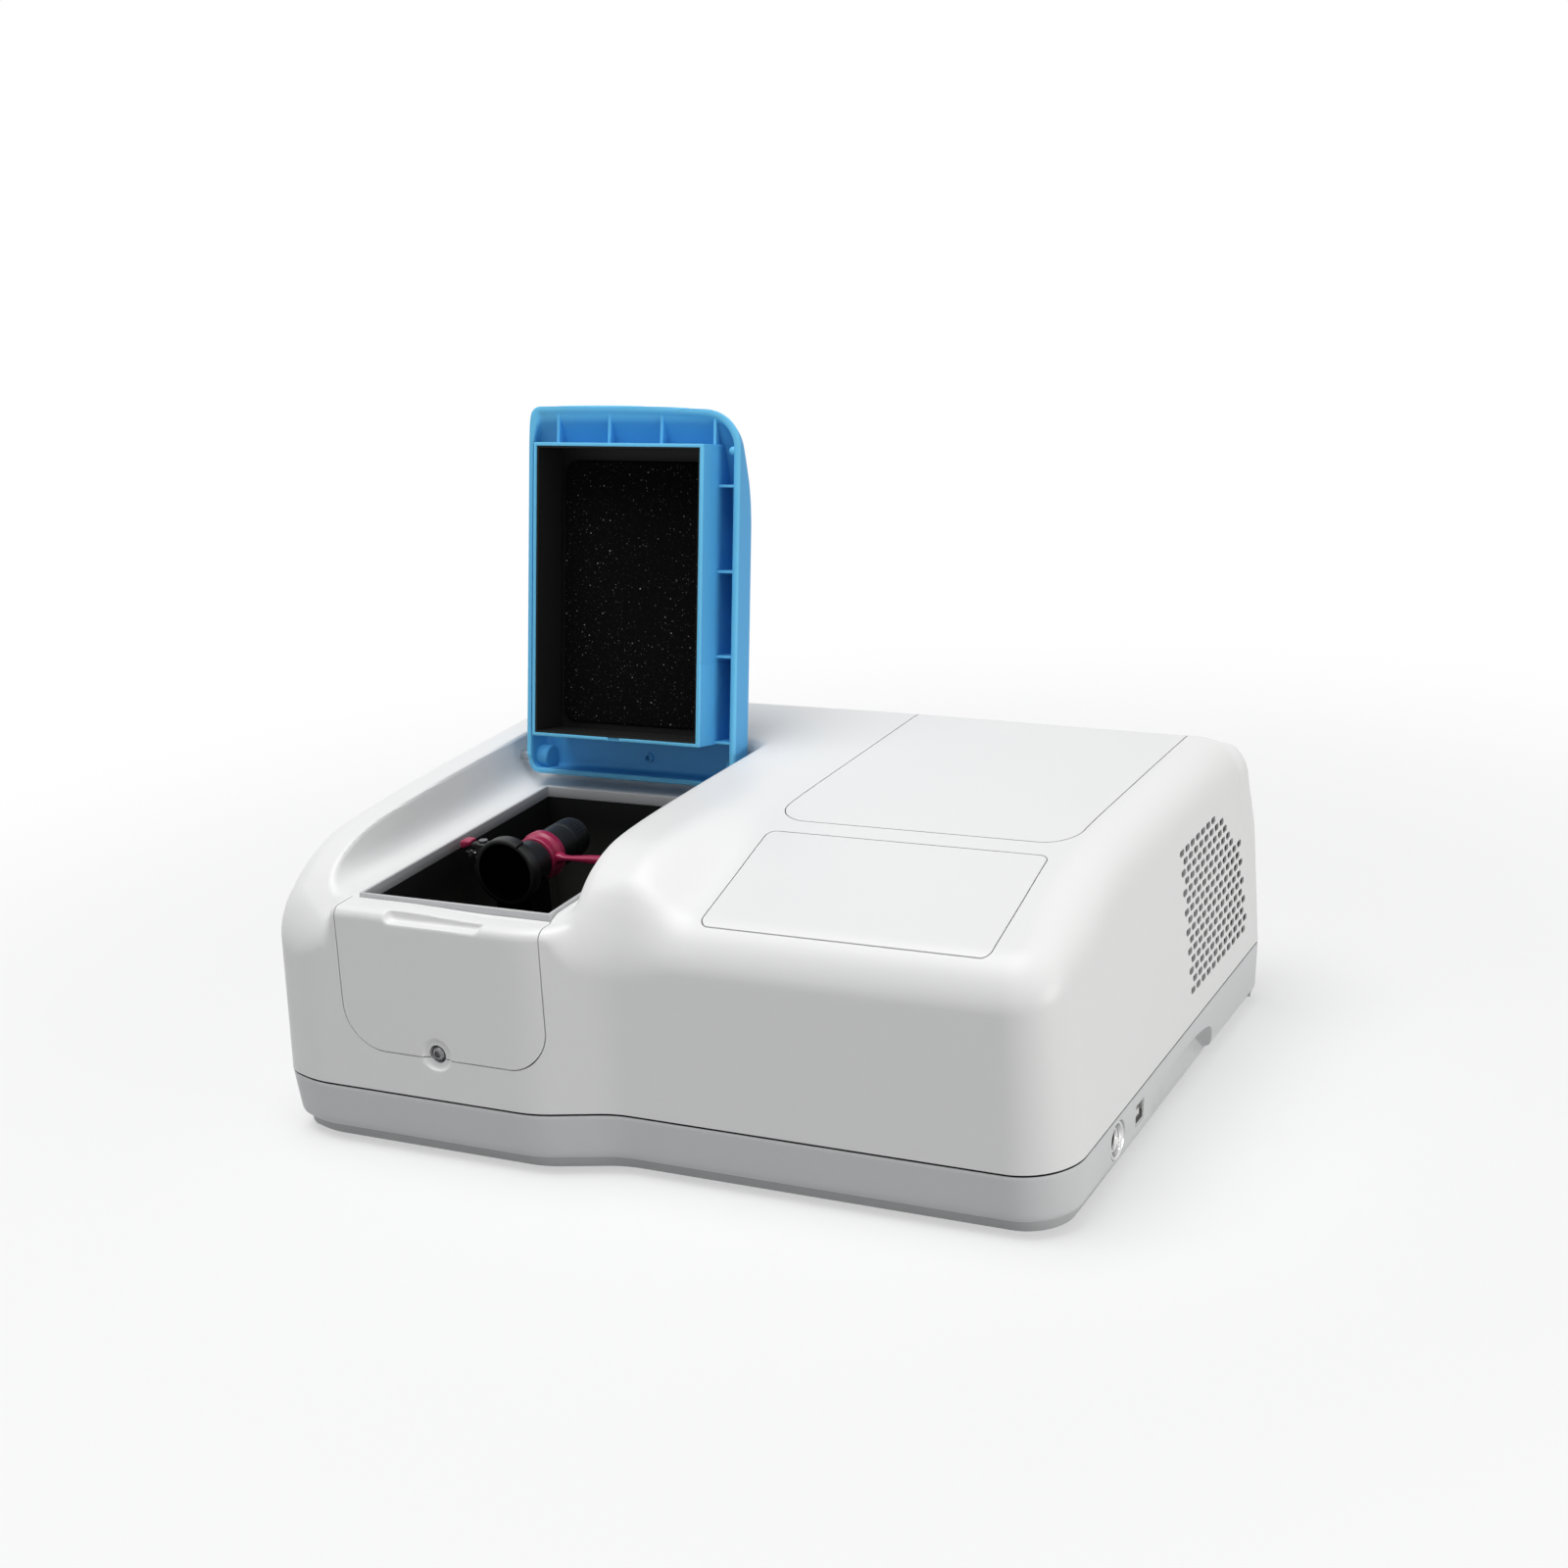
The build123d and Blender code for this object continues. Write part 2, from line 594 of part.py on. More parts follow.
def monochromator_housing():
    """The cast box that holds the grating and mirrors."""
    outer = rounded_block(-40, 116, 30, 205, TRAY_FLOOR_Z + 2, 62, 8)
    inner = rounded_block(-35, 111, 35, 200, TRAY_FLOOR_Z + 8, 63, 5)
    beam_y, beam_z = beam_line()
    return outer - inner - rod("x", (-50, beam_y, beam_z - 20), 6, 20) - block(105, 120, 110, 122, 0, 40)


def monochromator_cover():
    """The flat cover of the optics box."""
    return rounded_block(-40, 116, 30, 205, 62, 65, 8)


def mirror_block(x, y, turn):
    """A mirror on its upright mount."""
    return Location((x, y, TRAY_FLOOR_Z + 8), (0, 0, turn)) * block(-22, 22, 0, 9, 0, 60)


def grating_turret():
    """The turning table under the grating."""
    return rod("z", (50, 75, TRAY_FLOOR_Z + 8.3), 18, 6)


def grating():
    """The ruled grating block on its table."""
    return Location((50, 75, TRAY_FLOOR_Z + 14.3), (0, 0, 25)) * block(-14, 14, -4, 4, 0, 34)


def slit_plates():
    """Entrance and exit slits inside the optics box."""
    entrance = block(102, 104, 100, 132, TRAY_FLOOR_Z + 8, 50) - block(100, 106, 115.5, 116.5, 10, 30)
    leaving = block(-31, -29, 45, 75, TRAY_FLOOR_Z + 8, 55) - block(-32, -28, 59.5, 60.5, 28, 48)
    return Compound([entrance, leaving])


def lamp_bracket():
    """The sheet bracket that carries both lamps."""
    floor = block(128, 204, 190, 300, TRAY_FLOOR_Z + 2, TRAY_FLOOR_Z + 4)
    wall = block(128, 130, 190, 300, TRAY_FLOOR_Z + 4, 70) - rod("x", (120, 215, 20), 9, 20)
    return floor + wall


def lamp(x, y, radius, height):
    """A lamp: ceramic base with a glass envelope."""
    base = rod("z", (x, y, TRAY_FLOOR_Z + 4), radius + 3, 16)
    glass = rod("z", (x, y, TRAY_FLOOR_Z + 20), radius, height)
    return base, glass.fillet(radius * 0.45, glass.edges().filter_by(GeomType.CIRCLE).sort_by(Axis.Z)[-1:])


def lamp_mirror():
    """The small mirror that picks one of the lamps."""
    hub = rod("z", (150, 226, TRAY_FLOOR_Z + 4.3), 7, 14)
    plate = Location((150, 226, TRAY_FLOOR_Z + 18.3), (0, 0, 40)) * block(-9, 9, -1.5, 1.5, 0, 24)
    return hub + plate


def detector_housing():
    """The detector's box in the left side of the instrument."""
    beam_y, beam_z = beam_line()
    outer = block(-222, -184, 25, 105, TRAY_FLOOR_Z + 2, 84)
    inner = block(-219, -187, 28, 102, TRAY_FLOOR_Z + 5, 81)
    return outer - inner - rod("x", (-190, beam_y, beam_z), 6, 10)


def photodiode():
    """The detector cell on its board."""
    beam_y, beam_z = beam_line()
    can = rod("x", (-206, beam_y, beam_z), 7, 8)
    board = block(-208, -206, beam_y - 22, beam_y + 22, beam_z - 20, beam_z + 20)
    return can + board


def main_board():
    """The controller board with its larger parts."""
    board = block(126, 208, 36, 176, TRAY_FLOOR_Z + 7, TRAY_FLOOR_Z + 8.6)
    chips = [(140, 60, 24, 24, 3), (170, 95, 18, 12, 2.5), (145, 130, 20, 20, 9), (180, 150, 14, 20, 6)]
    for x, y, width, depth, height in chips:
        board = board + block(x, x + width, y, y + depth, TRAY_FLOOR_Z + 8.6, TRAY_FLOOR_Z + 8.6 + height)
    return board


def board_posts():
    """Spacers under the controller board."""
    places = ((131, 41), (203, 41), (131, 171), (203, 171))
    return Compound([rod("z", (x, y, TRAY_FLOOR_Z + 2), 3, 5) for x, y in places])


def power_supply():
    """The power supply board and its perforated tray."""
    outer = block(-60, 110, 218, 310, TRAY_FLOOR_Z + 2, 28)
    return outer - block(-58, 108, 220, 308, TRAY_FLOOR_Z + 4, 40)


def supply_parts():
    """Transformer, capacitors and heat sink on the supply's board."""
    board = block(-56, 106, 222, 306, TRAY_FLOOR_Z + 8, TRAY_FLOOR_Z + 10)
    base_z = TRAY_FLOOR_Z + 10
    parts = board + block(0, 44, 244, 284, base_z, base_z + 32) + block(60, 66, 230, 300, base_z, base_z + 30)
    for x, y in ((-40, 240), (-40, 268), (-16, 296), (84, 250)):
        parts = parts + rod("z", (x, y, base_z), 8, 26)
    return parts


def supply_posts():
    """Spacers under the supply's board."""
    places = ((-50, 228), (100, 228), (-50, 300), (100, 300))
    return Compound([rod("z", (x, y, TRAY_FLOOR_Z + 4), 3, 4) for x, y in places])


def fan_frame():
    """The square fan behind the vents."""
    frame = rounded_block(-30, 30, -30, 30, 0, 15, 4)
    bore = rod("z", (0, 0, 0), 27.5, 15)
    holes = [rod("z", (x, y, 0), 2, 15) for x in (-25, 25) for y in (-25, 25)]
    struts = block(-28, 28, -1.5, 1.5, 0, 2) + block(-1.5, 1.5, -28, 28, 0, 2) + rod("z", (0, 0, 0), 11, 2)
    return frame - bore - holes + struts


def fan_rotor():
    """Hub and blades of the fan."""
    rotor = rod("z", (0, 0, 2.6), 11, 10)
    blade = block(10, 26, -1, 1, 3, 12)
    tilted = Pos(0, 0, 7.5) * Rotation(35, 0, 0) * Pos(0, 0, -7.5) * blade
    for count in range(7):
        rotor = rotor + Rotation(0, 0, count * 360 / 7) * tilted
    return rotor & rod("z", (0, 0, 2.3), 26.6, 12)


def fan_place(shape):
    """Stand the fan upright just inside the vents, blowing to the right."""
    return Location((204, 262, 42)) * Rotation(0, 90, 0) * shape


def fan_mount():
    """The angle that holds the fan upright."""
    return block(204, 221, 232, 292, 8.5, 11.5) + block(206, 209, 240, 284, TRAY_FLOOR_Z + 2, 8.5)


def data_shell():
    """The square metal shell of the data socket."""
    y0, y1, z0, z1 = DATA_SOCKET_Y - 6, DATA_SOCKET_Y + 6, SOCKET_ROW_Z - 5.5, SOCKET_ROW_Z + 5.5
    outer = block(218, 233.2, y0, y1, z0, z1)
    return outer - block(222, 233.2, y0 + 0.8, y1 - 0.8, z0 + 0.8, z1 - 0.8)


def data_tongue():
    """The insulator inside the data socket."""
    y, z = DATA_SOCKET_Y, SOCKET_ROW_Z
    return block(222, 231.5, y - 2.8, y + 2.8, z - 1.7, z + 1.7)


def round_socket():
    """The silver round socket with a collar."""
    body = tube("x", (216, ROUND_SOCKET_Y, SOCKET_ROW_Z), 8.9, 7, 15.2)
    flange = tube("x", (231.2, ROUND_SOCKET_Y, SOCKET_ROW_Z), 10.6, 7, 3)
    return body + flange


def round_insert():
    """The insulator of the round socket with its pin holes."""
    insert = rod("x", (218, ROUND_SOCKET_Y, SOCKET_ROW_Z), 7, 10.5)
    for count in range(5):
        angle = math.radians(-60 + count * 75)
        y = ROUND_SOCKET_Y + 4 * math.cos(angle)
        z = SOCKET_ROW_Z + 4 * math.sin(angle)
        insert = insert - rod("x", (224, y, z), 0.8, 5)
    return insert


def rear_panel():
    """The black connection panel in the rear wall."""
    plate = block(-209, -71, REAR_PANEL_Y - 2.5, REAR_PANEL_Y, 2.5, 66)
    inlet_hole = block(INLET_X - 25, INLET_X + 25, 310, 330, SOCKET_Z - 14.5, SOCKET_Z + 14.5)
    switch_hole = block(SWITCH_X - 10.8, SWITCH_X + 10.8, 310, 330, SOCKET_Z - 14.5, SOCKET_Z + 14.5)
    return plate - inlet_hole - switch_hole


def power_inlet():
    """The mains inlet with its recess."""
    x, z = INLET_X, SOCKET_Z
    flange = block(x - 27.5, x + 27.5, REAR_PANEL_Y, REAR_PANEL_Y + 2, z - 17, z + 17)
    flange = flange.fillet(3, flange.edges().filter_by(Axis.Y))
    body = block(x - 24.8, x + 24.8, 298, REAR_PANEL_Y, z - 14.3, z + 14.3)
    recess = block(x - 19, x + 19, 306, REAR_PANEL_Y + 5, z - 11, z + 11)
    return flange + body - recess


def inlet_pins():
    """Three flat contacts in the mains inlet."""
    places = ((INLET_X - 10, SOCKET_Z - 3), (INLET_X, SOCKET_Z + 4), (INLET_X + 10, SOCKET_Z - 3))
    return Compound([block(x - 1, x + 1, 306, 321, z - 2, z + 2) for x, z in places])


def switch_frame():
    """The frame of the mains switch."""
    x, z = SWITCH_X, SOCKET_Z
    body = block(x - 10.6, x + 10.6, 302, REAR_PANEL_Y, z - 14.3, z + 14.3)
    flange = block(x - 12.6, x + 12.6, REAR_PANEL_Y, REAR_PANEL_Y + 2, z - 16.3, z + 16.3)
    return body + flange - block(x - 7.4, x + 7.4, 306, REAR_PANEL_Y + 5, z - 10.7, z + 10.7)


def switch_rocker():
    """The rocker of the mains switch, tilted to one side, with its two pivot stubs."""
    corners = ((-10.2, -2), (-10.2, 0.5), (0, 3.2), (10.2, 0.5), (10.2, -2), (4, -8), (-4, -8))
    section = make_face(Polyline(*corners, close=True))
    wide = extrude(section, amount=7, both=True)
    body = Rotation(0, 0, 180) * Rotation(0, 90, 0) * Rotation(0, 0, -90) * wide
    pivot = Rotation(0, 90, 0) * Cylinder(2, 14.4)
    return Location((SWITCH_X, REAR_PANEL_Y - 1, SOCKET_Z)) * Rotation(8, 0, 0) * (body + pivot)


def panel_screws():
    """Screws at the corners of the rear panel."""
    places = ((-201, 9), (-79, 9), (-201, 59), (-79, 59))
    return Compound([rod("y", (x, REAR_PANEL_Y, z), 2.8, 1.8) for x, z in places])


def base_screws():
    """Screws under the base that hold the cover."""
    places = ((-180, 40), (180, 40), (-180, 290), (180, 290), (0, 20), (0, 300))
    return Compound([rod("z", (x, y, TRAY_BOTTOM_Z - 1.6), 4, 1.6) for x, y in places])


def write_housing():
    """Cover, panels, base and what shows on them."""
    body = cover_body(0)
    shell = cover_shell()
    save("upper_cover", make_cover(shell))
    save("service_panel", make_service_panel(shell, body))
    save("control_panel", shell & control_panel_prism(0))
    save("lamp_cover", shell & lamp_cover_prism(0))
    save("base_tray", make_tray())
    save("feet", feet())
    save("base_screws", base_screws())
    save("chassis_plate", chassis_plate())
    save("collar", collar())
    save("compartment_liner", compartment_liner())
    save("beam_windows", beam_windows())
    save("liner_legs", liner_legs())
    save("service_screw", service_screw())
    save("data_shell", data_shell())
    save("data_tongue", data_tongue())
    save("round_socket", round_socket())
    save("round_insert", round_insert())
    save("rear_panel", rear_panel())
    save("panel_screws", panel_screws())
    save("power_inlet", power_inlet())
    save("inlet_pins", inlet_pins())
    save("switch_frame", switch_frame())
    save("switch_rocker", switch_rocker())
    save("hinge_pins", hinge_pins())


def write_lid():
    """The lid and what rides with it, in the open pose of the photograph."""
    save("lid_shell", opened(make_lid_shell()))
    save("lid_liner", opened(lid_liner()))
    save("lid_foam", opened(lid_foam()))
    save("lid_bushes", opened(lid_bushes()))


def write_head():
    """The micro-volume head in the compartment."""
    save("cell_block", cell_block())
    save("arch_drum", arch_drum())
    save("head_shaft", head_shaft())
    save("ring_collar", ring_collar())
    save("ring_lever", ring_lever())
    save("barrel", barrel())
    save("swing_arm", swing_arm())
    save("swing_pin", swing_pin())
    save("arm_cap", arm_cap())
    save("contact_pins", contact_pins())


def write_inside():
    """Optics, lamps, electronics and fan inside the housing."""
    save("monochromator_housing", monochromator_housing())
    save("monochromator_cover", monochromator_cover())
    save("collimating_mirror", mirror_block(20, 180, 8))
    save("focusing_mirror", mirror_block(78, 180, -8))
    save("grating_turret", grating_turret())
    save("grating", grating())
    save("slit_plates", slit_plates())
    save("lamp_bracket", lamp_bracket())
    deuterium_base, deuterium_glass = lamp(172, 268, 13, 52)
    tungsten_base, tungsten_glass = lamp(176, 212, 6, 30)
    save("lamp_bases", Compound([deuterium_base, tungsten_base]))
    save("lamp_glass", Compound([deuterium_glass, tungsten_glass]))
    save("lamp_mirror", lamp_mirror())
    save("detector_housing", detector_housing())
    save("photodiode", photodiode())
    save("main_board", main_board())
    save("board_posts", board_posts())
    save("power_supply", power_supply())
    save("supply_parts", supply_parts())
    save("supply_posts", supply_posts())
    save("fan_frame", fan_place(fan_frame()))
    save("fan_rotor", fan_place(fan_rotor()))
    save("fan_mount", fan_mount())


write_housing()
write_lid()
write_head()
write_inside()
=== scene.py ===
import bpy
import bmesh
import json
import math
import numpy as np
from mathutils import Matrix, Vector


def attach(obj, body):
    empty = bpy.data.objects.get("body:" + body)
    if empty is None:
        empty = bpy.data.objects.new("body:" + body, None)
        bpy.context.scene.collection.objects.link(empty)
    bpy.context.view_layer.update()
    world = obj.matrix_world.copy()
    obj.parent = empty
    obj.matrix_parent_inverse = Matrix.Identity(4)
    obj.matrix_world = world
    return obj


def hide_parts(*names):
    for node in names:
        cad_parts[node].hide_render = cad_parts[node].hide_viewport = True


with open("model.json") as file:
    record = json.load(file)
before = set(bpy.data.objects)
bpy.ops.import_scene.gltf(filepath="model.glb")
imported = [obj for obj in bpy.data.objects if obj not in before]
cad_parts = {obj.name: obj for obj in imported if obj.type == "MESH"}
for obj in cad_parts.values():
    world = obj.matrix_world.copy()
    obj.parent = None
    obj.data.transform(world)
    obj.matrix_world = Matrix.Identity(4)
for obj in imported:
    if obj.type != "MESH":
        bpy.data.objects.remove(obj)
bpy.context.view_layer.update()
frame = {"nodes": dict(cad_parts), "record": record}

# The pieces are drawn in millimetres from the instrument's straight front face (y = 0), with z = 0
# at the parting line between cover and base. SHIFT moves them into the part's frame.
SHIFT = np.array((-0.5, -159.5, 38.0))
HINGE = (0, 217.0, 120.5)
LID_SWING = 102.0
DECK_Z = 105.0
REAR_Y = 334
SCREW = (-120, 0, 26)
ROUND_SOCKET = (0, 80, -14.5)
HEAD = (-133, 0, 91)
DRUM_Z = 94
ARM_PIVOT = (-154.5, 101, 0)


# Shapes from distance fields

def smooth(value, low, high):
    """0 below low, 1 above high, with a soft S between."""
    t = np.clip((value - low) / (high - low), 0, 1)
    return t * t * t * (t * (6 * t - 15) + 10)


def round_max(a, b, radius):
    """The larger of two distances, with the edge between them rounded."""
    u = np.maximum(a + radius, 0)
    v = np.maximum(b + radius, 0)
    return np.minimum(np.maximum(a, b), -radius) + np.sqrt(u * u + v * v)


def curve(points, x):
    """A smooth curve through points, without overshoot."""
    px = np.array([p[0] for p in points], float)
    py = np.array([p[1] for p in points], float)
    step = np.diff(px)
    slope = np.diff(py) / step
    inner = np.where(slope[:-1] * slope[1:] > 0,
                     3 * (step[:-1] + step[1:])
                     / ((2 * step[1:] + step[:-1]) / np.where(slope[:-1] == 0, 1, slope[:-1])
                        + (step[1:] + 2 * step[:-1]) / np.where(slope[1:] == 0, 1, slope[1:])), 0)
    tangent = np.concatenate(([slope[0]], inner, [slope[-1]]))
    x = np.clip(x, px[0], px[-1])
    i = np.clip(np.searchsorted(px, x, side="right") - 1, 0, len(px) - 2)
    t = (x - px[i]) / step[i]
    t2, t3 = t * t, t * t * t
    return ((2 * t3 - 3 * t2 + 1) * py[i] + (t3 - 2 * t2 + t) * step[i] * tangent[i]
            + (3 * t2 - 2 * t3) * py[i + 1] + (t3 - t2) * step[i] * tangent[i + 1])


def unit(vectors):
    return vectors / np.linalg.norm(vectors, axis=1)[:, None]


def inward(outline):
    """Unit normals towards the inside of a closed counter-clockwise outline."""
    ahead = unit(np.roll(outline, -1, 0) - outline)
    along = unit(ahead + np.roll(ahead, 1, 0))
    return np.stack((-along[:, 1], along[:, 0]), 1)


def rounded_path(corners, radii, step=6.0):
    """A closed outline with rounded corners, as points and inward normals, counter-clockwise."""
    count = len(corners)
    points = []
    for k in range(count):
        before, here, after = (np.array(corners[(k + j) % count], float) for j in (-1, 0, 1))
        u = (before - here) / np.linalg.norm(before - here)
        v = (after - here) / np.linalg.norm(after - here)
        angle = math.acos(np.clip(u @ v, -1, 1))
        radius = radii[k]
        if radius < 0.01 or angle > math.pi - 1e-3:
            points.append(here)
            continue
        reach = radius / math.tan(angle / 2)
        centre = here + (u + v) / np.linalg.norm(u + v) * radius / math.sin(angle / 2)
        start, end = here + u * reach, here + v * reach
        a0 = math.atan2(*(start - centre)[::-1])
        turn = math.atan2(*(end - centre)[::-1]) - a0
        turn = (turn + math.pi) % (2 * math.pi) - math.pi
        parts = max(3, int(abs(turn) / math.radians(4)) + 1, int(abs(turn) * radius / step))
        for j in range(parts + 1):
            a = a0 + turn * j / parts
            points.append(centre + radius * np.array((math.cos(a), math.sin(a))))
    dense = []
    for k, p in enumerate(points):
        q = points[(k + 1) % len(points)]
        parts = max(1, int(np.linalg.norm(q - p) / step))
        dense += [p + (q - p) * j / parts for j in range(parts)]
    dense = np.array(dense)
    after = np.roll(dense, -1, 0)
    if np.sum(dense[:, 0] * after[:, 1] - after[:, 0] * dense[:, 1]) < 0:
        dense = dense[::-1]
    return dense, inward(dense)


def inside_distance(outline, x, y):
    """Distance inwards from a closed outline, negative outside it."""
    best = np.full(x.shape, 1e9)
    crossings = np.zeros(x.shape, bool)
    for p, q in zip(outline, np.roll(outline, -1, 0)):
        d = q - p
        t = np.clip(((x - p[0]) * d[0] + (y - p[1]) * d[1]) / (d @ d), 0, 1)
        best = np.minimum(best, (x - p[0] - t * d[0]) ** 2 + (y - p[1] - t * d[1]) ** 2)
        if p[1] != q[1]:
            spans = (p[1] > y) != (q[1] > y)
            crossings ^= spans & (x < (q[0] - p[0]) * (y - p[1]) / (q[1] - p[1]) + p[0])
    return np.where(crossings, 1, -1) * np.sqrt(best)


class Field:
    """A smooth plan-view field that is worked out on a grid once and read anywhere."""

    def __init__(self, function, x0, x1, y0, y1, step=2.0):
        self.x0, self.y0, self.step = x0, y0, step
        xs = np.arange(x0, x1 + step, step)
        ys = np.arange(y0, y1 + step, step)
        self.values = function(*np.meshgrid(xs, ys, indexing="ij"))

    def __call__(self, x, y):
        u = np.clip((x - self.x0) / self.step, 1, self.values.shape[0] - 2.001)
        v = np.clip((y - self.y0) / self.step, 1, self.values.shape[1] - 2.001)
        i, j = u.astype(int), v.astype(int)
        fu, fv = u - i, v - j

        def weights(t):
            return (0.5 * (-t + 2 * t * t - t ** 3), 0.5 * (2 - 5 * t * t + 3 * t ** 3),
                    0.5 * (t + 4 * t * t - 3 * t ** 3), 0.5 * (t ** 3 - t * t))

        wu, wv = weights(fu), weights(fv)
        total = 0
        for a in range(4):
            row = 0
            for b in range(4):
                row = row + wv[b] * self.values[i + a - 1, j + b - 1]
            total = total + wu[a] * row
        return total


def surface(function, low, high, step, passes=2):
    """The surface where a distance function is zero, as points and four-sided faces."""
    axes = [np.arange(low[k], high[k] + step, step) for k in range(3)]
    shape = [len(a) for a in axes]
    values = np.empty(shape, np.float32)
    gx, gy = np.meshgrid(axes[0], axes[1], indexing="ij")
    for k, z in enumerate(axes[2]):
        values[:, :, k] = function(gx, gy, np.full(gx.shape, z))
    inside = values < 0
    corners = [(i, j, k) for i in (0, 1) for j in (0, 1) for k in (0, 1)]
    count = sum(inside[i:shape[0] - 1 + i, j:shape[1] - 1 + j, k:shape[2] - 1 + k].astype(np.int8)
                for i, j, k in corners)
    cells = np.argwhere((count > 0) & (count < 8))
    number = np.full([n - 1 for n in shape], -1, np.int64)
    number[tuple(cells.T)] = np.arange(len(cells))
    total = np.zeros((len(cells), 3))
    hits = np.zeros(len(cells))
    edges = [(p, q) for p in corners for q in corners
             if p < q and sum(abs(m - n) for m, n in zip(p, q)) == 1]
    for a, b in edges:
        va = values[tuple((cells + a).T)].astype(float)
        vb = values[tuple((cells + b).T)].astype(float)
        crossing = (va < 0) != (vb < 0)
        t = np.where(crossing, va / np.where(va == vb, 1, va - vb), 0)
        point = np.array(a) + t[:, None] * (np.array(b) - np.array(a))
        total += np.where(crossing[:, None], point, 0)
        hits += crossing
    points = (cells + total / hits[:, None]) * step + np.array(low)
    faces = []
    for axis in range(3):
        others = [k for k in range(3) if k != axis]
        first = [slice(1, n - 1) for n in shape]
        first[axis] = slice(0, shape[axis] - 1)
        second = list(first)
        second[axis] = slice(1, shape[axis])
        a, b = inside[tuple(first)], inside[tuple(second)]
        where = np.argwhere(a != b)
        base = where + np.array([0 if k == axis else 1 for k in range(3)])
        flip = a[tuple(where.T)]
        offsets = []
        for du, dv in ((0, 0), (-1, 0), (-1, -1), (0, -1)):
            offset = [0, 0, 0]
            offset[others[0]], offset[others[1]] = du, dv
            offsets.append(number[tuple((base + offset).T)])
        quad = np.stack(offsets, 1)
        if axis == 1:
            flip = ~flip
        quad[~flip] = quad[~flip][:, ::-1]
        faces.append(quad)
    faces = np.concatenate(faces)
    x, y, z = points.T
    eps = 0.05
    for _ in range(passes):
        f = function(x, y, z)
        beside = (function(x + eps, y, z), function(x, y + eps, z), function(x, y, z + eps))
        g = (np.stack(beside, 1) - f[:, None]) / eps
        move = np.clip(f / np.maximum((g * g).sum(1), 0.2), -step, step)[:, None] * g
        x, y, z = (np.stack((x, y, z), 1) - move).T
    return np.stack((x, y, z), 1), faces


# Meshes

def new_object(name, data):
    obj = bpy.data.objects.new(name, data)
    bpy.context.scene.collection.objects.link(obj)
    return obj


def piece(name, points, faces, swung=False):
    """A mesh object from layout points in millimetres; a lid piece is swung open."""
    points = np.asarray(points, float)
    if swung:
        a = math.radians(-LID_SWING)
        dy, dz = points[:, 1] - HINGE[1], points[:, 2] - HINGE[2]
        points = np.stack((points[:, 0], HINGE[1] + dy * math.cos(a) - dz * math.sin(a),
                           HINGE[2] + dy * math.sin(a) + dz * math.cos(a)), 1)
    mesh = bpy.data.meshes.new(name)
    sampled = isinstance(faces, np.ndarray)
    mesh.from_pydata(((points + SHIFT) / 1000).tolist(), [], faces.tolist() if sampled else faces)
    if not sampled:
        work = bmesh.new()
        work.from_mesh(mesh)
        bmesh.ops.recalc_face_normals(work, faces=work.faces)
        work.to_mesh(mesh)
        work.free()
    mesh.update()
    return new_object(name, mesh)


def join_shapes(shapes):
    """Several (points, faces) as one."""
    points, faces, start = [], [], 0
    for more_points, more_faces in shapes:
        points += more_points
        faces += [tuple(i + start for i in face) for face in more_faces]
        start += len(more_points)
    return points, faces


def box_shape(x0, x1, y0, y1, z0, z1):
    points = [(x, y, z) for x in (x0, x1) for y in (y0, y1) for z in (z0, z1)]
    faces = [(0, 1, 3, 2), (4, 6, 7, 5), (0, 4, 5, 1), (2, 3, 7, 6), (0, 2, 6, 4), (1, 5, 7, 3)]
    return points, faces


def loft(rings):
    """A closed skin through rings of as many points each, with a flat face on both ends."""
    count, last = len(rings[0]), len(rings) - 1
    points = [p for ring in rings for p in ring]
    faces = [tuple(range(count)), tuple(last * count + k for k in range(count))[::-1]]
    for start in range(0, last * count, count):
        for k in range(count):
            n = (k + 1) % count
            faces.append((start + k, start + count + k, start + count + n, start + n))
    return points, faces


def prism_shape(outline, place_low, place_high):
    """A prism between two copies of an outline; each place turns (u, v) into (x, y, z)."""
    count = len(outline)
    points = [place_low(*p) for p in outline] + [place_high(*p) for p in outline]
    faces = [tuple(range(count))[::-1], tuple(range(count, 2 * count))]
    faces += [(k, (k + 1) % count, count + (k + 1) % count, count + k) for k in range(count)]
    return points, faces


def crosswise_prism(outline, x0, x1):
    return prism_shape(outline, lambda u, v: (x0, u, v), lambda u, v: (x1, u, v))


def lengthwise_prism(outline, y0, y1):
    return prism_shape(outline, lambda u, v: (u, y0, v), lambda u, v: (u, y1, v))


def upright_prism(outline, z0, z1):
    return prism_shape(outline, lambda u, v: (u, v, z0), lambda u, v: (u, v, z1))


def rounded_rectangle(x0, x1, y0, y1, radius):
    return rounded_path(((x0, y0), (x1, y0), (x1, y1), (x0, y1)), (radius,) * 4, 200)[0]


def around(parts):
    """Equal steps of angle through a full turn."""
    return [2 * math.pi * k / parts for k in range(parts)]


def turned_shape(profile, axis, centre, parts=48):
    """A shape turned about an axis through a centre; profile is (distance along it, radius)."""
    a, u, w = np.roll(np.eye(3), -"xyz".index(axis), 0)
    centre = np.array(centre, float)
    points, faces = [], []
    for along, radius in profile:
        for t in around(parts):
            points.append(centre + a * along + radius * (u * math.cos(t) + w * math.sin(t)))
    rows = len(profile)
    for r in range(rows - 1):
        for k in range(parts):
            n = (k + 1) % parts
            faces.append((r * parts + k, r * parts + n, (r + 1) * parts + n, (r + 1) * parts + k))
    faces.append(tuple(range(parts))[::-1])
    faces.append(tuple((rows - 1) * parts + k for k in range(parts)))
    return points, faces


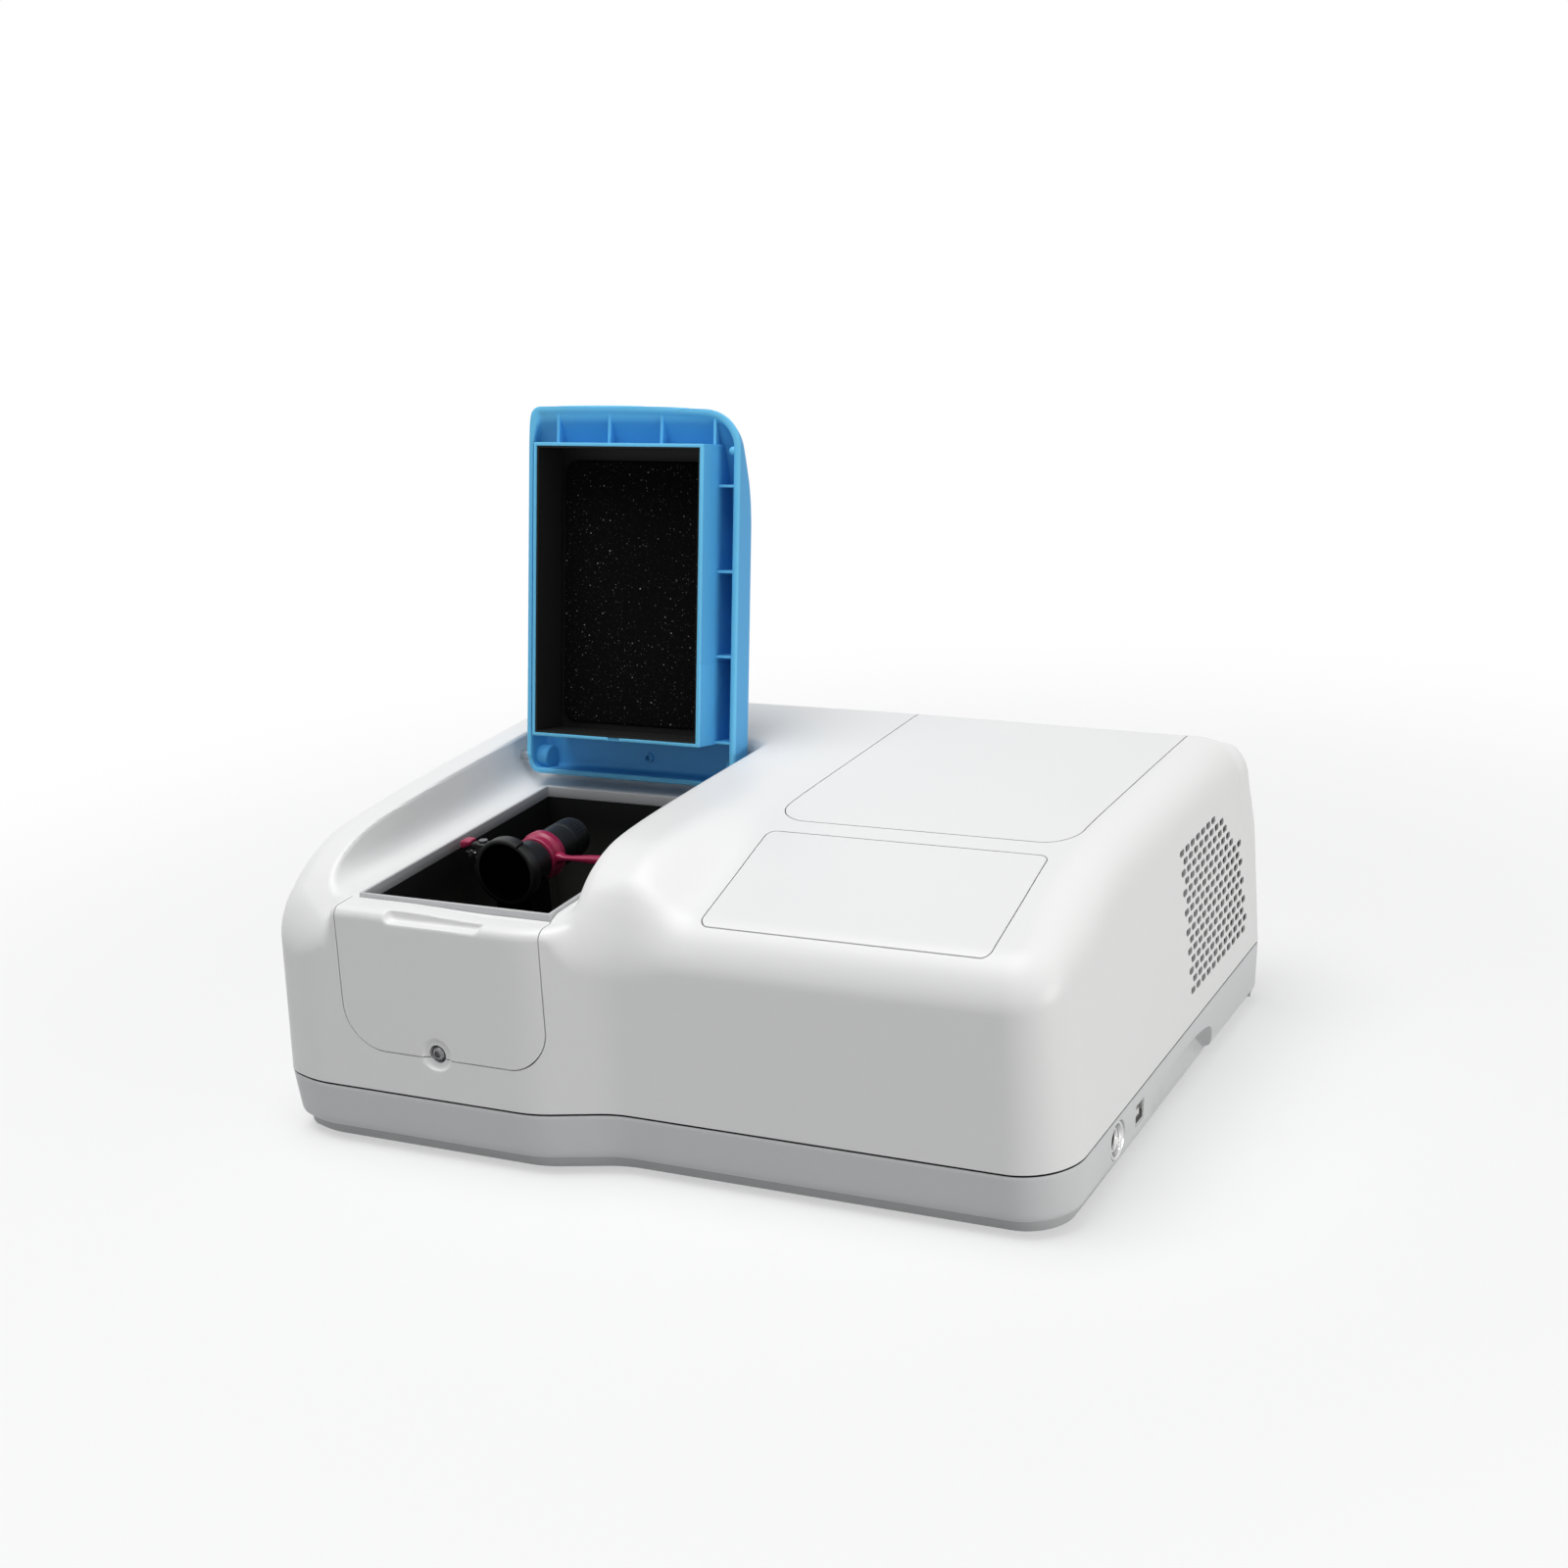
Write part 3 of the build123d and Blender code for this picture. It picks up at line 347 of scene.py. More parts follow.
def apply_modifiers(obj):
    dg = bpy.context.evaluated_depsgraph_get()
    mesh = bpy.data.meshes.new_from_object(obj.evaluated_get(dg))
    old = obj.data
    obj.modifiers.clear()
    obj.data = mesh
    bpy.data.meshes.remove(old)
    return obj


def combine(obj, other, operation):
    """Boolean of two closed meshes; the second one is used up."""
    mod = obj.modifiers.new("cut", "BOOLEAN")
    mod.operation = operation
    mod.solver = "MANIFOLD"
    mod.object = other
    apply_modifiers(obj)
    bpy.data.objects.remove(other)
    return obj


def cut(obj, shape, swung=False):
    return combine(obj, piece("cutter", *shape, swung=swung), "DIFFERENCE")


def add(obj, shape, swung=False):
    return combine(obj, piece("adder", *shape, swung=swung), "UNION")


def soften(obj, width, segments=2, angle=40):
    """Small rounded edges."""
    mod = obj.modifiers.new("edge", "BEVEL")
    mod.width = width / 1000
    mod.segments = segments
    mod.limit_method = "ANGLE"
    mod.angle_limit = math.radians(angle)
    return apply_modifiers(obj)


# Materials

GLOSS_DRIFT = 0.05


def fill(item, inputs):
    """Give each named input of a shader node a value or another node's output."""
    for name, value in inputs.items():
        if isinstance(value, bpy.types.NodeSocket):
            item.id_data.links.new(value, item.inputs[name])
        else:
            item.inputs[name].default_value = value
    return item


def add_node(owner, kind, inputs=(), **settings):
    """A new shader node in a material or a world."""
    item = owner.node_tree.nodes.new("ShaderNode" + kind)
    for name, value in settings.items():
        setattr(item, name, value)
    return fill(item, dict(inputs))


def principled(mat):
    return mat.node_tree.nodes["Principled BSDF"]


def material(name, colour, rough, grain=900, bump=0.05, vary=0.03, metal=0.0, specular=0.5,
             distance=0.0002):
    """Moulded or machined surface: colour and gloss drift a little, and a fine grain stands up."""
    mat = bpy.data.materials.new(name)
    mat.use_nodes = True
    place = add_node(mat, "TexCoord").outputs["Object"]
    drift = add_node(mat, "TexNoise", {"Vector": place, "Scale": 14, "Detail": 4})
    fine = add_node(mat, "TexNoise", {"Vector": place, "Scale": grain, "Detail": 3}).outputs["Fac"]
    mix = add_node(mat, "Mix", {"Factor": drift.outputs["Fac"],
                                "A": (*[c * (1 - vary) for c in colour], 1),
                                "B": (*[min(1, c * (1 + vary)) for c in colour], 1)},
                   data_type="RGBA")
    gloss = add_node(mat, "MapRange", {"Value": fine, "To Min": max(0.02, rough - GLOSS_DRIFT),
                                       "To Max": min(1, rough + GLOSS_DRIFT)})
    relief = add_node(mat, "Bump", {"Height": fine, "Strength": bump, "Distance": distance})
    fill(principled(mat), {"Metallic": metal, "Specular IOR Level": specular,
                           "Base Color": mix.outputs["Result"],
                           "Roughness": gloss.outputs["Result"],
                           "Normal": relief.outputs["Normal"]})
    return mat


def clear(name, colour):
    mat = material(name, colour, 0.04, bump=0.0)
    fill(principled(mat), {"Transmission Weight": 1.0})
    return mat


def object_place(mat):
    return mat.node_tree.nodes["Texture Coordinate"].outputs["Object"]


def combined(owner, operation, *values):
    """One step of arithmetic on masks and numbers."""
    return add_node(owner, "Math", dict(enumerate(values)), operation=operation).outputs[0]


def along(mat, direction, start, end, middle=None):
    """0 at start to 1 at end, in millimetres along a direction of the part's frame.

    With a middle, the two distances are measured from there, both ways."""
    scaled = {0: object_place(mat), 1: [1000 * d for d in direction]}
    distance = add_node(mat, "VectorMath", scaled, operation="DOT_PRODUCT").outputs["Value"]
    if middle is not None:
        distance = combined(mat, "ABSOLUTE", combined(mat, "SUBTRACT", distance, middle))
    ramp = add_node(mat, "MapRange", {"Value": distance, "From Min": start, "From Max": end})
    return ramp.outputs["Result"]


def tint(mat, mask, colour):
    """Another colour where the mask is 1."""
    base = principled(mat).inputs["Base Color"].links[0].from_socket
    mix = add_node(mat, "Mix", {"A": base, "B": (*colour, 1), "Factor": mask}, data_type="RGBA")
    fill(principled(mat), {"Base Color": mix.outputs["Result"]})


X, Y, Z = (1, 0, 0), (0, 1, 0), (0, 0, 1)


def lid_material():
    """Blue moulding with a painted highlight: its thin edges are tinted paler.

    The edges are found by heights and distances in the closed lid, which turn with it."""
    mat = material("lid_blue", (0.085, 0.39, 0.73), 0.42, bump=0.06, specular=0.3)
    swing = math.radians(-LID_SWING)
    up = Vector((0, -math.sin(swing), math.cos(swing)))
    back = Vector((0, math.cos(swing), math.sin(swing)))
    hinge = Vector((0, HINGE[1] + SHIFT[1], HINGE[2] + SHIFT[2]))
    up_start = HINGE[2] - hinge.dot(up)
    back_start = HINGE[1] - hinge.dot(back)
    beside_box = combined(mat, "MAXIMUM", along(mat, X, 58.05, 58.25, -114.8 + SHIFT[0]),
                          along(mat, back, 88.25, 88.45, 112.2 - back_start))
    lid_rim_highlight = combined(mat, "MULTIPLY", beside_box,
                       along(mat, up, 110.3 - up_start, 108.7 - up_start))
    box_rim_highlight = along(mat, up, 90.6 - up_start, 89.3 - up_start)
    # painted highlight: the rims of the lid and of its light box are tinted pale blue
    tint(mat, combined(mat, "MAXIMUM", lid_rim_highlight, box_rim_highlight), (0.16, 0.59, 0.91))
    return mat


def liner_material():
    """Black lining, greyer towards the bottom of the compartment."""
    mat = material("black_liner", (0.006, 0.006, 0.006), 0.6, grain=1200, bump=0.15,
                   specular=0.22)
    tint(mat, along(mat, Z, 85 + SHIFT[2], 45 + SHIFT[2]), (0.05, 0.05, 0.046))
    return mat


def base_material():
    """Light grey moulding with painted shade: dark on the joint face inside the seam, and greyer on
    the front skirt.
    """
    mat = material("base_grey", (0.665, 0.675, 0.68), 0.42, grain=1600, bump=0.10, vary=0.01)
    seam = SHIFT[2] - 1.35
    # painted shade: the joint face inside the seam is tinted near black, standing in for the shadow
    # in the gap
    tint(mat, along(mat, Z, seam, seam + 0.05), (0.03, 0.03, 0.03))
    skirt = along(mat, Z, SHIFT[2] - 28.2, SHIFT[2] - 28.7)
    ahead = along(mat, Y, SHIFT[1] + 110, SHIFT[1] + 60)
    # painted shade: the front skirt is tinted greyer, standing in for shade on the recessed skirt
    tint(mat, combined(mat, "MULTIPLY", skirt, ahead), (0.47, 0.48, 0.485))
    return mat


def head_material():
    """Black finish with painted shade: matt and blacker low down and in the drum's recess."""
    mat = material("black_anodised", (0.015, 0.0155, 0.016), 0.42, grain=2200, bump=0.12,
                   specular=0.36)
    flat = add_node(mat, "VectorMath", {0: object_place(mat), 1: (1000, 0, 1000)},
                    operation="MULTIPLY")
    centre = (HEAD[0] + SHIFT[0], 0, DRUM_Z + SHIFT[2])
    out = add_node(mat, "VectorMath", {0: flat.outputs[0], 1: centre}, operation="DISTANCE")
    recess = combined(mat, "MULTIPLY", combined(mat, "LESS_THAN", out.outputs["Value"], 17.3),
                      along(mat, Y, 103 + SHIFT[1], 100 + SHIFT[1]))
    low = combined(mat, "MULTIPLY", along(mat, Z, 102 + SHIFT[2], 82 + SHIFT[2]), 0.85)
    dark = combined(mat, "MAXIMUM", recess, low)
    # painted shade: low down and in the drum's recess the colour is tinted near black and the shine
    # is taken away
    tint(mat, dark, (0.001, 0.001, 0.001))
    shine = combined(mat, "MULTIPLY", combined(mat, "SUBTRACT", 1, dark), 0.36)
    fill(principled(mat), {"Specular IOR Level": shine})
    return mat


def foam_material():
    """Open-cell black foam with the odd bright fibre end in it."""
    mat = material("black_foam", (0.003, 0.003, 0.003), 0.95, grain=620, bump=0.9, vary=0.3,
                   distance=0.0006, specular=0.06)
    for scale, size, bright in ((230, 0.10, 0.34), (430, 0.16, 0.14), (800, 0.2, 0.06)):
        cells = add_node(mat, "TexVoronoi", {"Vector": object_place(mat), "Scale": scale})
        parts = add_node(mat, "SeparateColor", {"Color": cells.outputs["Color"]})
        shown = combined(mat, "MULTIPLY",
                         combined(mat, "LESS_THAN", cells.outputs["Distance"], size),
                         combined(mat, "POWER", parts.outputs["Red"], 2.2))
        tint(mat, shown, (bright, bright, bright * 1.02))
    return mat


FINISHES = (
    ("cover_white", (0.84, 0.84, 0.835), 0.42, dict(grain=1600, bump=0.10, vary=0.006)),
    ("screen_panel", (0.84, 0.84, 0.835), 0.36, dict(grain=2400, bump=0.06, vary=0.006)),
    ("bearing_plastic", (0.012, 0.03, 0.07), 0.5, dict(specular=0.3)),
    ("collar_grey", (0.55, 0.555, 0.565), 0.34, dict(grain=1500, bump=0.06, vary=0.01)),
    ("black_plastic", (0.018, 0.018, 0.018), 0.5, dict(grain=1200, bump=0.12)),
    ("crimson", (0.36, 0.018, 0.075), 0.36, dict(grain=1500, bump=0.08, vary=0.05)),
    ("steel", (0.62, 0.62, 0.63), 0.24, dict(bump=0.04, metal=1.0)),
    ("dark_steel", (0.20, 0.20, 0.21), 0.34, dict(metal=1.0)),
    ("sheet_steel", (0.50, 0.51, 0.52), 0.4, dict(grain=300, metal=1.0, vary=0.08)),
    ("socket_silver", (0.72, 0.72, 0.72), 0.2, dict(bump=0.03, metal=1.0)),
    ("tongue_white", (0.72, 0.72, 0.70), 0.45, {}),
    ("rear_black", (0.02, 0.02, 0.021), 0.45, dict(grain=1400, bump=0.15)),
    ("rocker_black", (0.014, 0.014, 0.014), 0.22, dict(bump=0.02)),
    ("foot_rubber", (0.025, 0.025, 0.025), 0.8, dict(grain=700, bump=0.3)),
    ("cast_aluminium", (0.56, 0.57, 0.58), 0.5, dict(grain=800, bump=0.3, metal=1.0)),
    ("mirror_face", (0.85, 0.86, 0.87), 0.05, dict(bump=0.0, metal=1.0)),
    ("ceramic_white", (0.76, 0.75, 0.71), 0.5, {}),
    ("board_green", (0.02, 0.13, 0.06), 0.35, dict(grain=500, bump=0.2, vary=0.2)),
    ("supply_dark", (0.06, 0.06, 0.065), 0.5, dict(grain=600, bump=0.3)),
)
mats = {name: material(name, colour, rough, **more) for name, colour, rough, more in FINISHES}
mats["base_grey"] = base_material()
mats["lid_blue"] = lid_material()
mats["black_liner"] = liner_material()
mats["black_foam"] = foam_material()
mats["black_anodised"] = head_material()
mats["quartz"] = clear("quartz", (0.95, 0.97, 0.98))
mats["lamp_envelope"] = clear("lamp_envelope", (0.95, 0.96, 0.97))

for entry in frame["record"]["subparts"]:
    node = frame["nodes"][entry["node"]]
    node.data.materials.clear()
    node.data.materials.append(mats[entry["material_slot"]])


def done(obj, slot, *nodes, body="housing", angle=32):
    """Shade a finished piece, smooth up to an angle between faces.

    It is also given its material and its body, and the CAD nodes that it stands for are hidden."""
    obj.data.polygons.foreach_set("use_smooth", [True] * len(obj.data.polygons))
    obj.data.set_sharp_from_angle(angle=math.radians(angle))
    obj.data.materials.clear()
    obj.data.materials.append(mats[slot])
    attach(obj, body)
    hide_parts(*nodes)


# Cover

FRONT_ROUND = (22, 60, 60, 50, 32)
REAR_ROUND = 4
COVER_WALL = 3


def plan(rear_round, step):
    """The instrument seen from above at the parting line."""
    corners = ((-235, REAR_Y), (-235, -5), (-205, -15), (-60, -15), (-18, 0), (236, 0),
               (233.5, REAR_Y))
    return rounded_path(corners, (rear_round, *FRONT_ROUND, rear_round), step)


FOOTPRINT = plan(REAR_ROUND, 6)
DRAFT = math.tan(math.radians(3))
CHEEK_TOP = (
    (-60, 50), (-40, 66), (-20, 82), (-6, 93), (4, 101), (12, 107.5), (20, 113.3), (28, 118),
    (36, 121.6), (44, 124.4), (54, 126.6), (68, 128.4), (100, 130.2), (140, 131.8), (219, 133.2),
    (334, 133.6), (400, 133.6),
)
RIDGE_TOP = (
    (-60, 45), (-40, 62), (-15, 85), (0, 99), (9, 108), (16, 115.5), (20, 119.5), (27, 125),
    (35.5, 129.6), (44.5, 133), (57, 135.6), (75, 136.8), (100, 137.2), (145, 136.8), (204, 135.8),
    (260, 134.8), (334, 134), (400, 134),
)
SLOPE_TOP = (
    (-60, 86.3), (0, 102), (60, 117.7), (104, 129.2), (122, 132.3), (142, 133.7), (170, 134),
    (400, 134),
)

FRONT_EDGE = (
    (-260, 15), (-215, 15), (-200, 11), (-186, 6), (-55, 6), (-36, 13), (-10, 20), (260, 21),
)

footprint = Field(lambda x, y: inside_distance(FOOTPRINT[0], x, y), -250, 250, -30, 350)
top_plan = Field(lambda x, y: inside_distance(plan(14, 6)[0], x, y), -250, 250, -30, 350)


def top_height(x, y):
    """Height of the cover's top before the well is cut."""
    cheek = curve(CHEEK_TOP, y)
    ridge = curve(RIDGE_TOP, y)
    slope = curve(SLOPE_TOP, y)
    left = cheek + (ridge - cheek) * smooth(x, -150, -80)
    top = left + (slope - left) * smooth(x, -14, 34)
    lip = smooth(x, -192, -180) * (1 - smooth(x, -50, -30)) * (1 - smooth(y, 9, 18))
    return top + (np.maximum(top, DECK_Z) - top) * lip


def edge_radius(x, y):
    """How large the rounding is where the sides meet the top."""
    front = curve(FRONT_EDGE, x)
    side = 15 + 11 * smooth(x, -60, 120)
    rear = smooth(y, 250, 312)
    behind = side + (20 + 9 * smooth(x, -20, 236) - side) * rear
    return behind + (front - behind) * (1 - smooth(y, 18, 70))


def well_distance(x, y, z):
    """Distance outside the well that the lid closes into."""
    rise = (z - DECK_Z) / 29
    left = -200 - x
    right = x - (-40.5 + 1.2 * rise)
    walls = round_max(np.maximum(left, right), y - 231.5, 5)
    return round_max(walls, DECK_Z - z, 8 + 5 * (1 - smooth(x, -180, -150)))


def cover_distance(x, y, z):
    lean = DRAFT * (1 - smooth(y, 315, 330) * 0.85)
    upper = smooth(z, 60, 125)
    side = (z * lean - footprint(x, y) * (1 - upper) - top_plan(x, y) * upper) * 0.9986
    top = top_height(x, y)
    eps = 0.5
    tilt_x = (top_height(x + eps, y) - top) / eps
    tilt_y = (top_height(x, y + eps) - top) / eps
    roof = (z - top) / np.sqrt(1 + tilt_x ** 2 + tilt_y ** 2)
    body = round_max(side, roof, edge_radius(x, y))
    rim = 2.2 + 6.8 * smooth(x, -150, -80)
    body = round_max(body, -well_distance(x, y, z), rim)
    ledge = round_max(round_max(np.abs(x + 116.5) - 30.5, 98.7 - z, 3.5), y + 3.4, 1.5)
    dish = round_max(np.hypot(x - SCREW[0], z - SCREW[2]) - 8.8, y + 12.3, 1.0)
    body = round_max(round_max(body, -ledge, 1.3), -dish, 0.7)
    return np.maximum(body, -6 - z)


def cover_lining(x, y, z):
    return np.maximum(cover_distance(x, y, z) + COVER_WALL, -8 - z)


def front_wall(x, y, z):
    """The wall that the service cover is cut from, closed by a box a little larger than it."""
    skin = cover_distance(x, y, z)
    box = np.maximum(np.abs(x + 115.3) - 68, np.maximum(y - 10, np.maximum(18 - z, z - 112)))
    return np.maximum(np.maximum(skin, -COVER_WALL - skin), box)


SEAM_GAP = 0.7
SERVICE_SEAM = rounded_path(((-179.8, 140), (-179.8, 24), (-50.8, 24), (-50.8, 140)),
                            (0, 26, 22, 0), 200)[0]


def push(outline, amount):
    """A closed counter-clockwise outline moved outwards."""
    return outline - inward(outline) * amount


def service_prism(gap):
    return lengthwise_prism(push(SERVICE_SEAM, gap), 8.2, -60)


def control_prism(gap):
    outline = rounded_rectangle(33.5 - gap, 194.5 + gap, 19 - gap, 103 + gap, 5 + gap)
    return upright_prism(outline, 88, 150)


def hatch_prism(gap):
    outline = rounded_rectangle(30 - gap, 202 + gap, 116 - gap, 400, 18 + gap)
    return upright_prism(outline, 98 - gap, 150)


def vent_places():
    places = []
    for row in range(15):
        z = 17 + row * 5.7
        shift = 4.75 if row % 2 else 0
        for column in range(11):
            y = 209 + shift + column * 9.5
            if (y - 262) / 52 + (z - 62) / 44 < 1.05:
                places.append((y, z))
    return places


def slot_outline(length, width, parts=8):
    half, r = (length - width) / 2, width / 2
    points = []
    for side in (1, -1):
        for k in range(parts + 1):
            a = -math.pi / 2 + math.pi * k / parts
            points.append((side * (half + r * math.cos(a)), side * r * math.sin(a)))
    return points


def make_cover():
    step = 1.6
    shell = piece("cover", *surface(cover_distance, (-240, -22, -10), (242, 340, 142), step))
    hollow = piece("hollow", *surface(cover_lining, (-240, -22, -10), (242, 340, 142), 3.4, 1))
    cut(shell, box_shape(-300, 300, -60, 400, -40, 0))
    combine(shell, hollow, "DIFFERENCE")
    cut(shell, box_shape(-175.8, -50.9, 8.0, 203.8, 95, 115))
    return shell


def make_panel(shell, name, prism):
    """A panel parted from the shell, with a gap left around it."""
    if name == "service_cover":
        step = 0.9
        panel = piece(name, *surface(front_wall, (-186, -20, 15), (-44, 13, 115), step))
    else:
        panel = new_object(name, shell.data.copy())
    combine(panel, piece("prism", *prism(0)), "INTERSECT")
    cut(shell, prism(SEAM_GAP))
    return panel


def make_openings(shell, service):
    """The vents in a thinned wall, the opening at the rear and the hole for the front screw."""
    slots = [crosswise_prism([(y + u, z + v) for u, v in slot_outline(7.4, 3.7)], 216, 246)
             for y, z in vent_places()]
    cut(shell, lengthwise_prism([(205, 11), (232, 11), (227.4, 100), (205, 100)], 203, 318))
    cut(shell, join_shapes(slots))
    cut(shell, box_shape(-205, -75, 314, 344, 6, 62))
    hole = turned_shape(((-20, 5.3), (-5.5, 5.3)), "y", SCREW)
    cut(shell, hole)
    add(service, turned_shape(((-10, 7.2), (-3.8, 7.2)), "y", SCREW))
    cut(service, hole)


shell = make_cover()
service = make_panel(shell, "service_cover", service_prism)
control = make_panel(shell, "control_plate", control_prism)
hatch = make_panel(shell, "lamp_hatch", hatch_prism)
make_openings(shell, service)
done(shell, "cover_white", "upper_cover")
done(service, "cover_white", "service_panel")
done(control, "screen_panel", "control_panel")
done(hatch, "cover_white", "lamp_cover")


# Base

BASE_LEVELS = (
    (3.4, -1.2), (0.9, -1.2), (0.4, -1.4), (0.2, -1.9), (0.4, -4), (1.2, -14), (1.95, -22.5),
    (2.2, -24.5), (2.9, -26.4), (4.0, -27.6), (5.4, -28), (6.6, -28.1), (7.0, -28.6), (7.2, -33.6),
    (7.6, -34.5), (8.6, -35),
)
GRIP_STATIONS = (
    (134, -17, 0.3, 0.5, 5), (137, -15.5, 2.5, 3.5, 5), (142, -13.8, 4.5, 5, 6),
    (155, -12, 6, 5, 7), (170, -11, 7.5, 5, 7), (185, -10.6, 9, 5, 6.5), (200, -10.8, 10.5, 5, 5.5),
    (212, -11.8, 12, 5, 4.5), (224, -13.4, 14, 5, 3), (233, -15.2, 15.5, 5, 2),
    (238, -17, 16, 5, 1.5), (241, -19, 15.5, 5, 1.5), (242.5, -22, 15, 5, 1.5),
)
GRIP_LOW = -45


def ring_shape(levels, outline):
    """A closed skin through offset copies of an outline; levels are (inset, z), top to bottom."""
    points, normals = outline
    count = len(points)
    rows = []
    for inset, z in levels:
        ring = points + normals * inset
        rows += [(p[0], p[1], z) for p in ring]
    faces = []
    for r in range(len(levels) - 1):
        for k in range(count):
            n = (k + 1) % count
            faces.append((r * count + n, r * count + k, (r + 1) * count + k, (r + 1) * count + n))
    faces.append(tuple(range(count)))
    faces.append(tuple((len(levels) - 1) * count + k for k in range(count))[::-1])
    return rows, faces


def grip_shape(side):
    """One hand-hold: soft at the front, deep at the rear, its back sloping out to the bottom edge.

    Stations are (y, top, depth, depth at the bottom, rounding)."""
    points, faces = [], []
    for y, top, depth, foot, soft in GRIP_STATIONS:
        edge = 235.5 - 2.5 * y / REAR_Y if side > 0 else 235
        for z, inset in ((GRIP_LOW, foot - 0.4), (-35, foot), (top - soft, depth), (top, 0.2),
                         (top, -20), (GRIP_LOW, -20)):
            points.append((side * (edge - inset), y, z))
    last = 6 * (len(GRIP_STATIONS) - 1)
    for start in range(0, last, 6):
        for k in range(6):
            n = (k + 1) % 6
            faces.append((start + k, start + n, start + 6 + n, start + 6 + k))
    return points, faces + [tuple(range(6)), tuple(range(last, last + 6))]


def lowered(y, z):
    """The lower edge of the base runs down a little towards the rear."""
    share = 0 if z < -29 else min(1, max(0, (-14 - z) / 14))
    return z - 4.6 * share * float(smooth(y, 100, 320))


def make_base():
    rows, faces = ring_shape(BASE_LEVELS, plan(REAR_ROUND, 3))
    tray = piece("base", [(x, y, lowered(y, z)) for x, y, z in rows], faces)
    points, normals = FOOTPRINT
    hollow = piece("hollow", *upright_prism(points + normals * 10, -32, 5))
    for side in (1, -1):
        grip, faces = grip_shape(side)
        pocket = [(x - side * 3, y + (1.5 if y > 200 else -1.5), z + 2.5) for x, y, z in grip]
        cut(hollow, (pocket, faces))
    combine(tray, hollow, "DIFFERENCE")
    lip = piece("lip", *upright_prism(points + normals * 3.7, -4, 4))
    cut(lip, upright_prism(points + normals * 5.6, -5, 5))
    combine(tray, lip, "UNION")
    for side in (1, -1):
        cut(tray, grip_shape(side))
    socket_hole = ((215, 9.2), (231.3, 9.2), (231.31, 10.9), (250, 10.9))
    cut(tray, turned_shape(socket_hole, "x", ROUND_SOCKET))
    cut(tray, box_shape(214, 250, 108.5, 121.5, -20.5, -8.5))
    soften(tray, 0.5, 2, 50)
    done(tray, "base_grey", "base_tray")


def make_feet():
    profile = ((-37.2, 0.5), (-37.2, 5.6), (-38, 6.2), (-38, 7.9), (-37.5, 8.6), (-36.2, 8.95),
               (-34.9, 9))
    feet = [turned_shape(profile, "z", (x, y, 0), 40)
            for x, y in ((-200, 22), (200, 30), (-200, 305), (200, 305))]
    done(piece("rubber_feet", *join_shapes(feet)), "foot_rubber", "feet")


make_base()
make_feet()


# Front screw, collar

def make_screw():
    profile = ((-12.9, 0.4), (-12.8, 1.6), (-12.4, 2.9), (-11.7, 3.8), (-10.9, 4.2),
               (-9.4, 4.2), (-9.2, 4.0), (-9.2, 2), (-5.4, 2))
    screw = piece("service_screw_head", *turned_shape(profile, "y", SCREW, 40))
    hexagon = [(SCREW[0] + 2.1 * math.cos(t), SCREW[2] + 2.1 * math.sin(t)) for t in around(6)]
    cut(screw, lengthwise_prism(hexagon, -11, -15))
    soften(screw, 0.15, 1, 45)
    done(screw, "dark_steel", "service_screw")


def make_collar():
    collar = piece("compartment_collar", *box_shape(-175.5, -51.2, 8.5, 203.5, 99.8, 106.8))
    cut(collar, box_shape(-173.7, -53, 10.3, 201.7, 90, 120))
    soften(collar, 0.5, 3, 60)
    done(collar, "collar_grey", "collar")


make_screw()
make_collar()


# Lid, drawn closed and swung open by piece()

LID_WALL = 2.4
LID_BOSS = (-112, 213.5, 0)
LID_PLAN = rounded_path(((-188.3, 226), (-188.3, -0.3), (-120, -3), (-43.2, 3), (-43.2, 226)),
                        (8, 8, 900, 24, 8), 3)[0]
LID_TOP = (
    (-20, 106.9), (-5, 107.3), (8, 111.2), (20, 116.2), (36, 122.3), (48, 126), (60, 128),
    (74, 128.9), (240, 129),
)

lid_plan = Field(lambda x, y: inside_distance(LID_PLAN, x, y), -196, -36, -8, 234, 1.0)


def lid_skin(x, y, z, inset=0.0):
    """Distance outside the lid's filled form, open below."""
    eps = 0.5
    top = curve(LID_TOP, y)
    tilt = (curve(LID_TOP, y + eps) - top) / eps
    roof = (z - top) / np.sqrt(1 + tilt * tilt)
    return round_max(inset - lid_plan(x, y), roof + inset, 6 - inset)


def lid_distance(x, y, z):
    """The lid's moulding, with a thicker lip in front and a rounded rim."""
    lip = 3.2 * (1 - smooth(y, 8, 30))
    inner = round_max(LID_WALL + lip - lid_plan(x, y), lid_skin(x, y, z) + LID_WALL, 3)
    rim = 107.2 + 2.0 * smooth(y, 214, 219)
    wall = round_max(lid_skin(x, y, z), -inner, 0.8)
    return round_max(wall, rim - z, 0.9 + 0.5 * (1 - smooth(y, 8, 30)))


def lid_core(x, y, z):
    return np.maximum(lid_skin(x, y, z, 1.3), 84 - z)


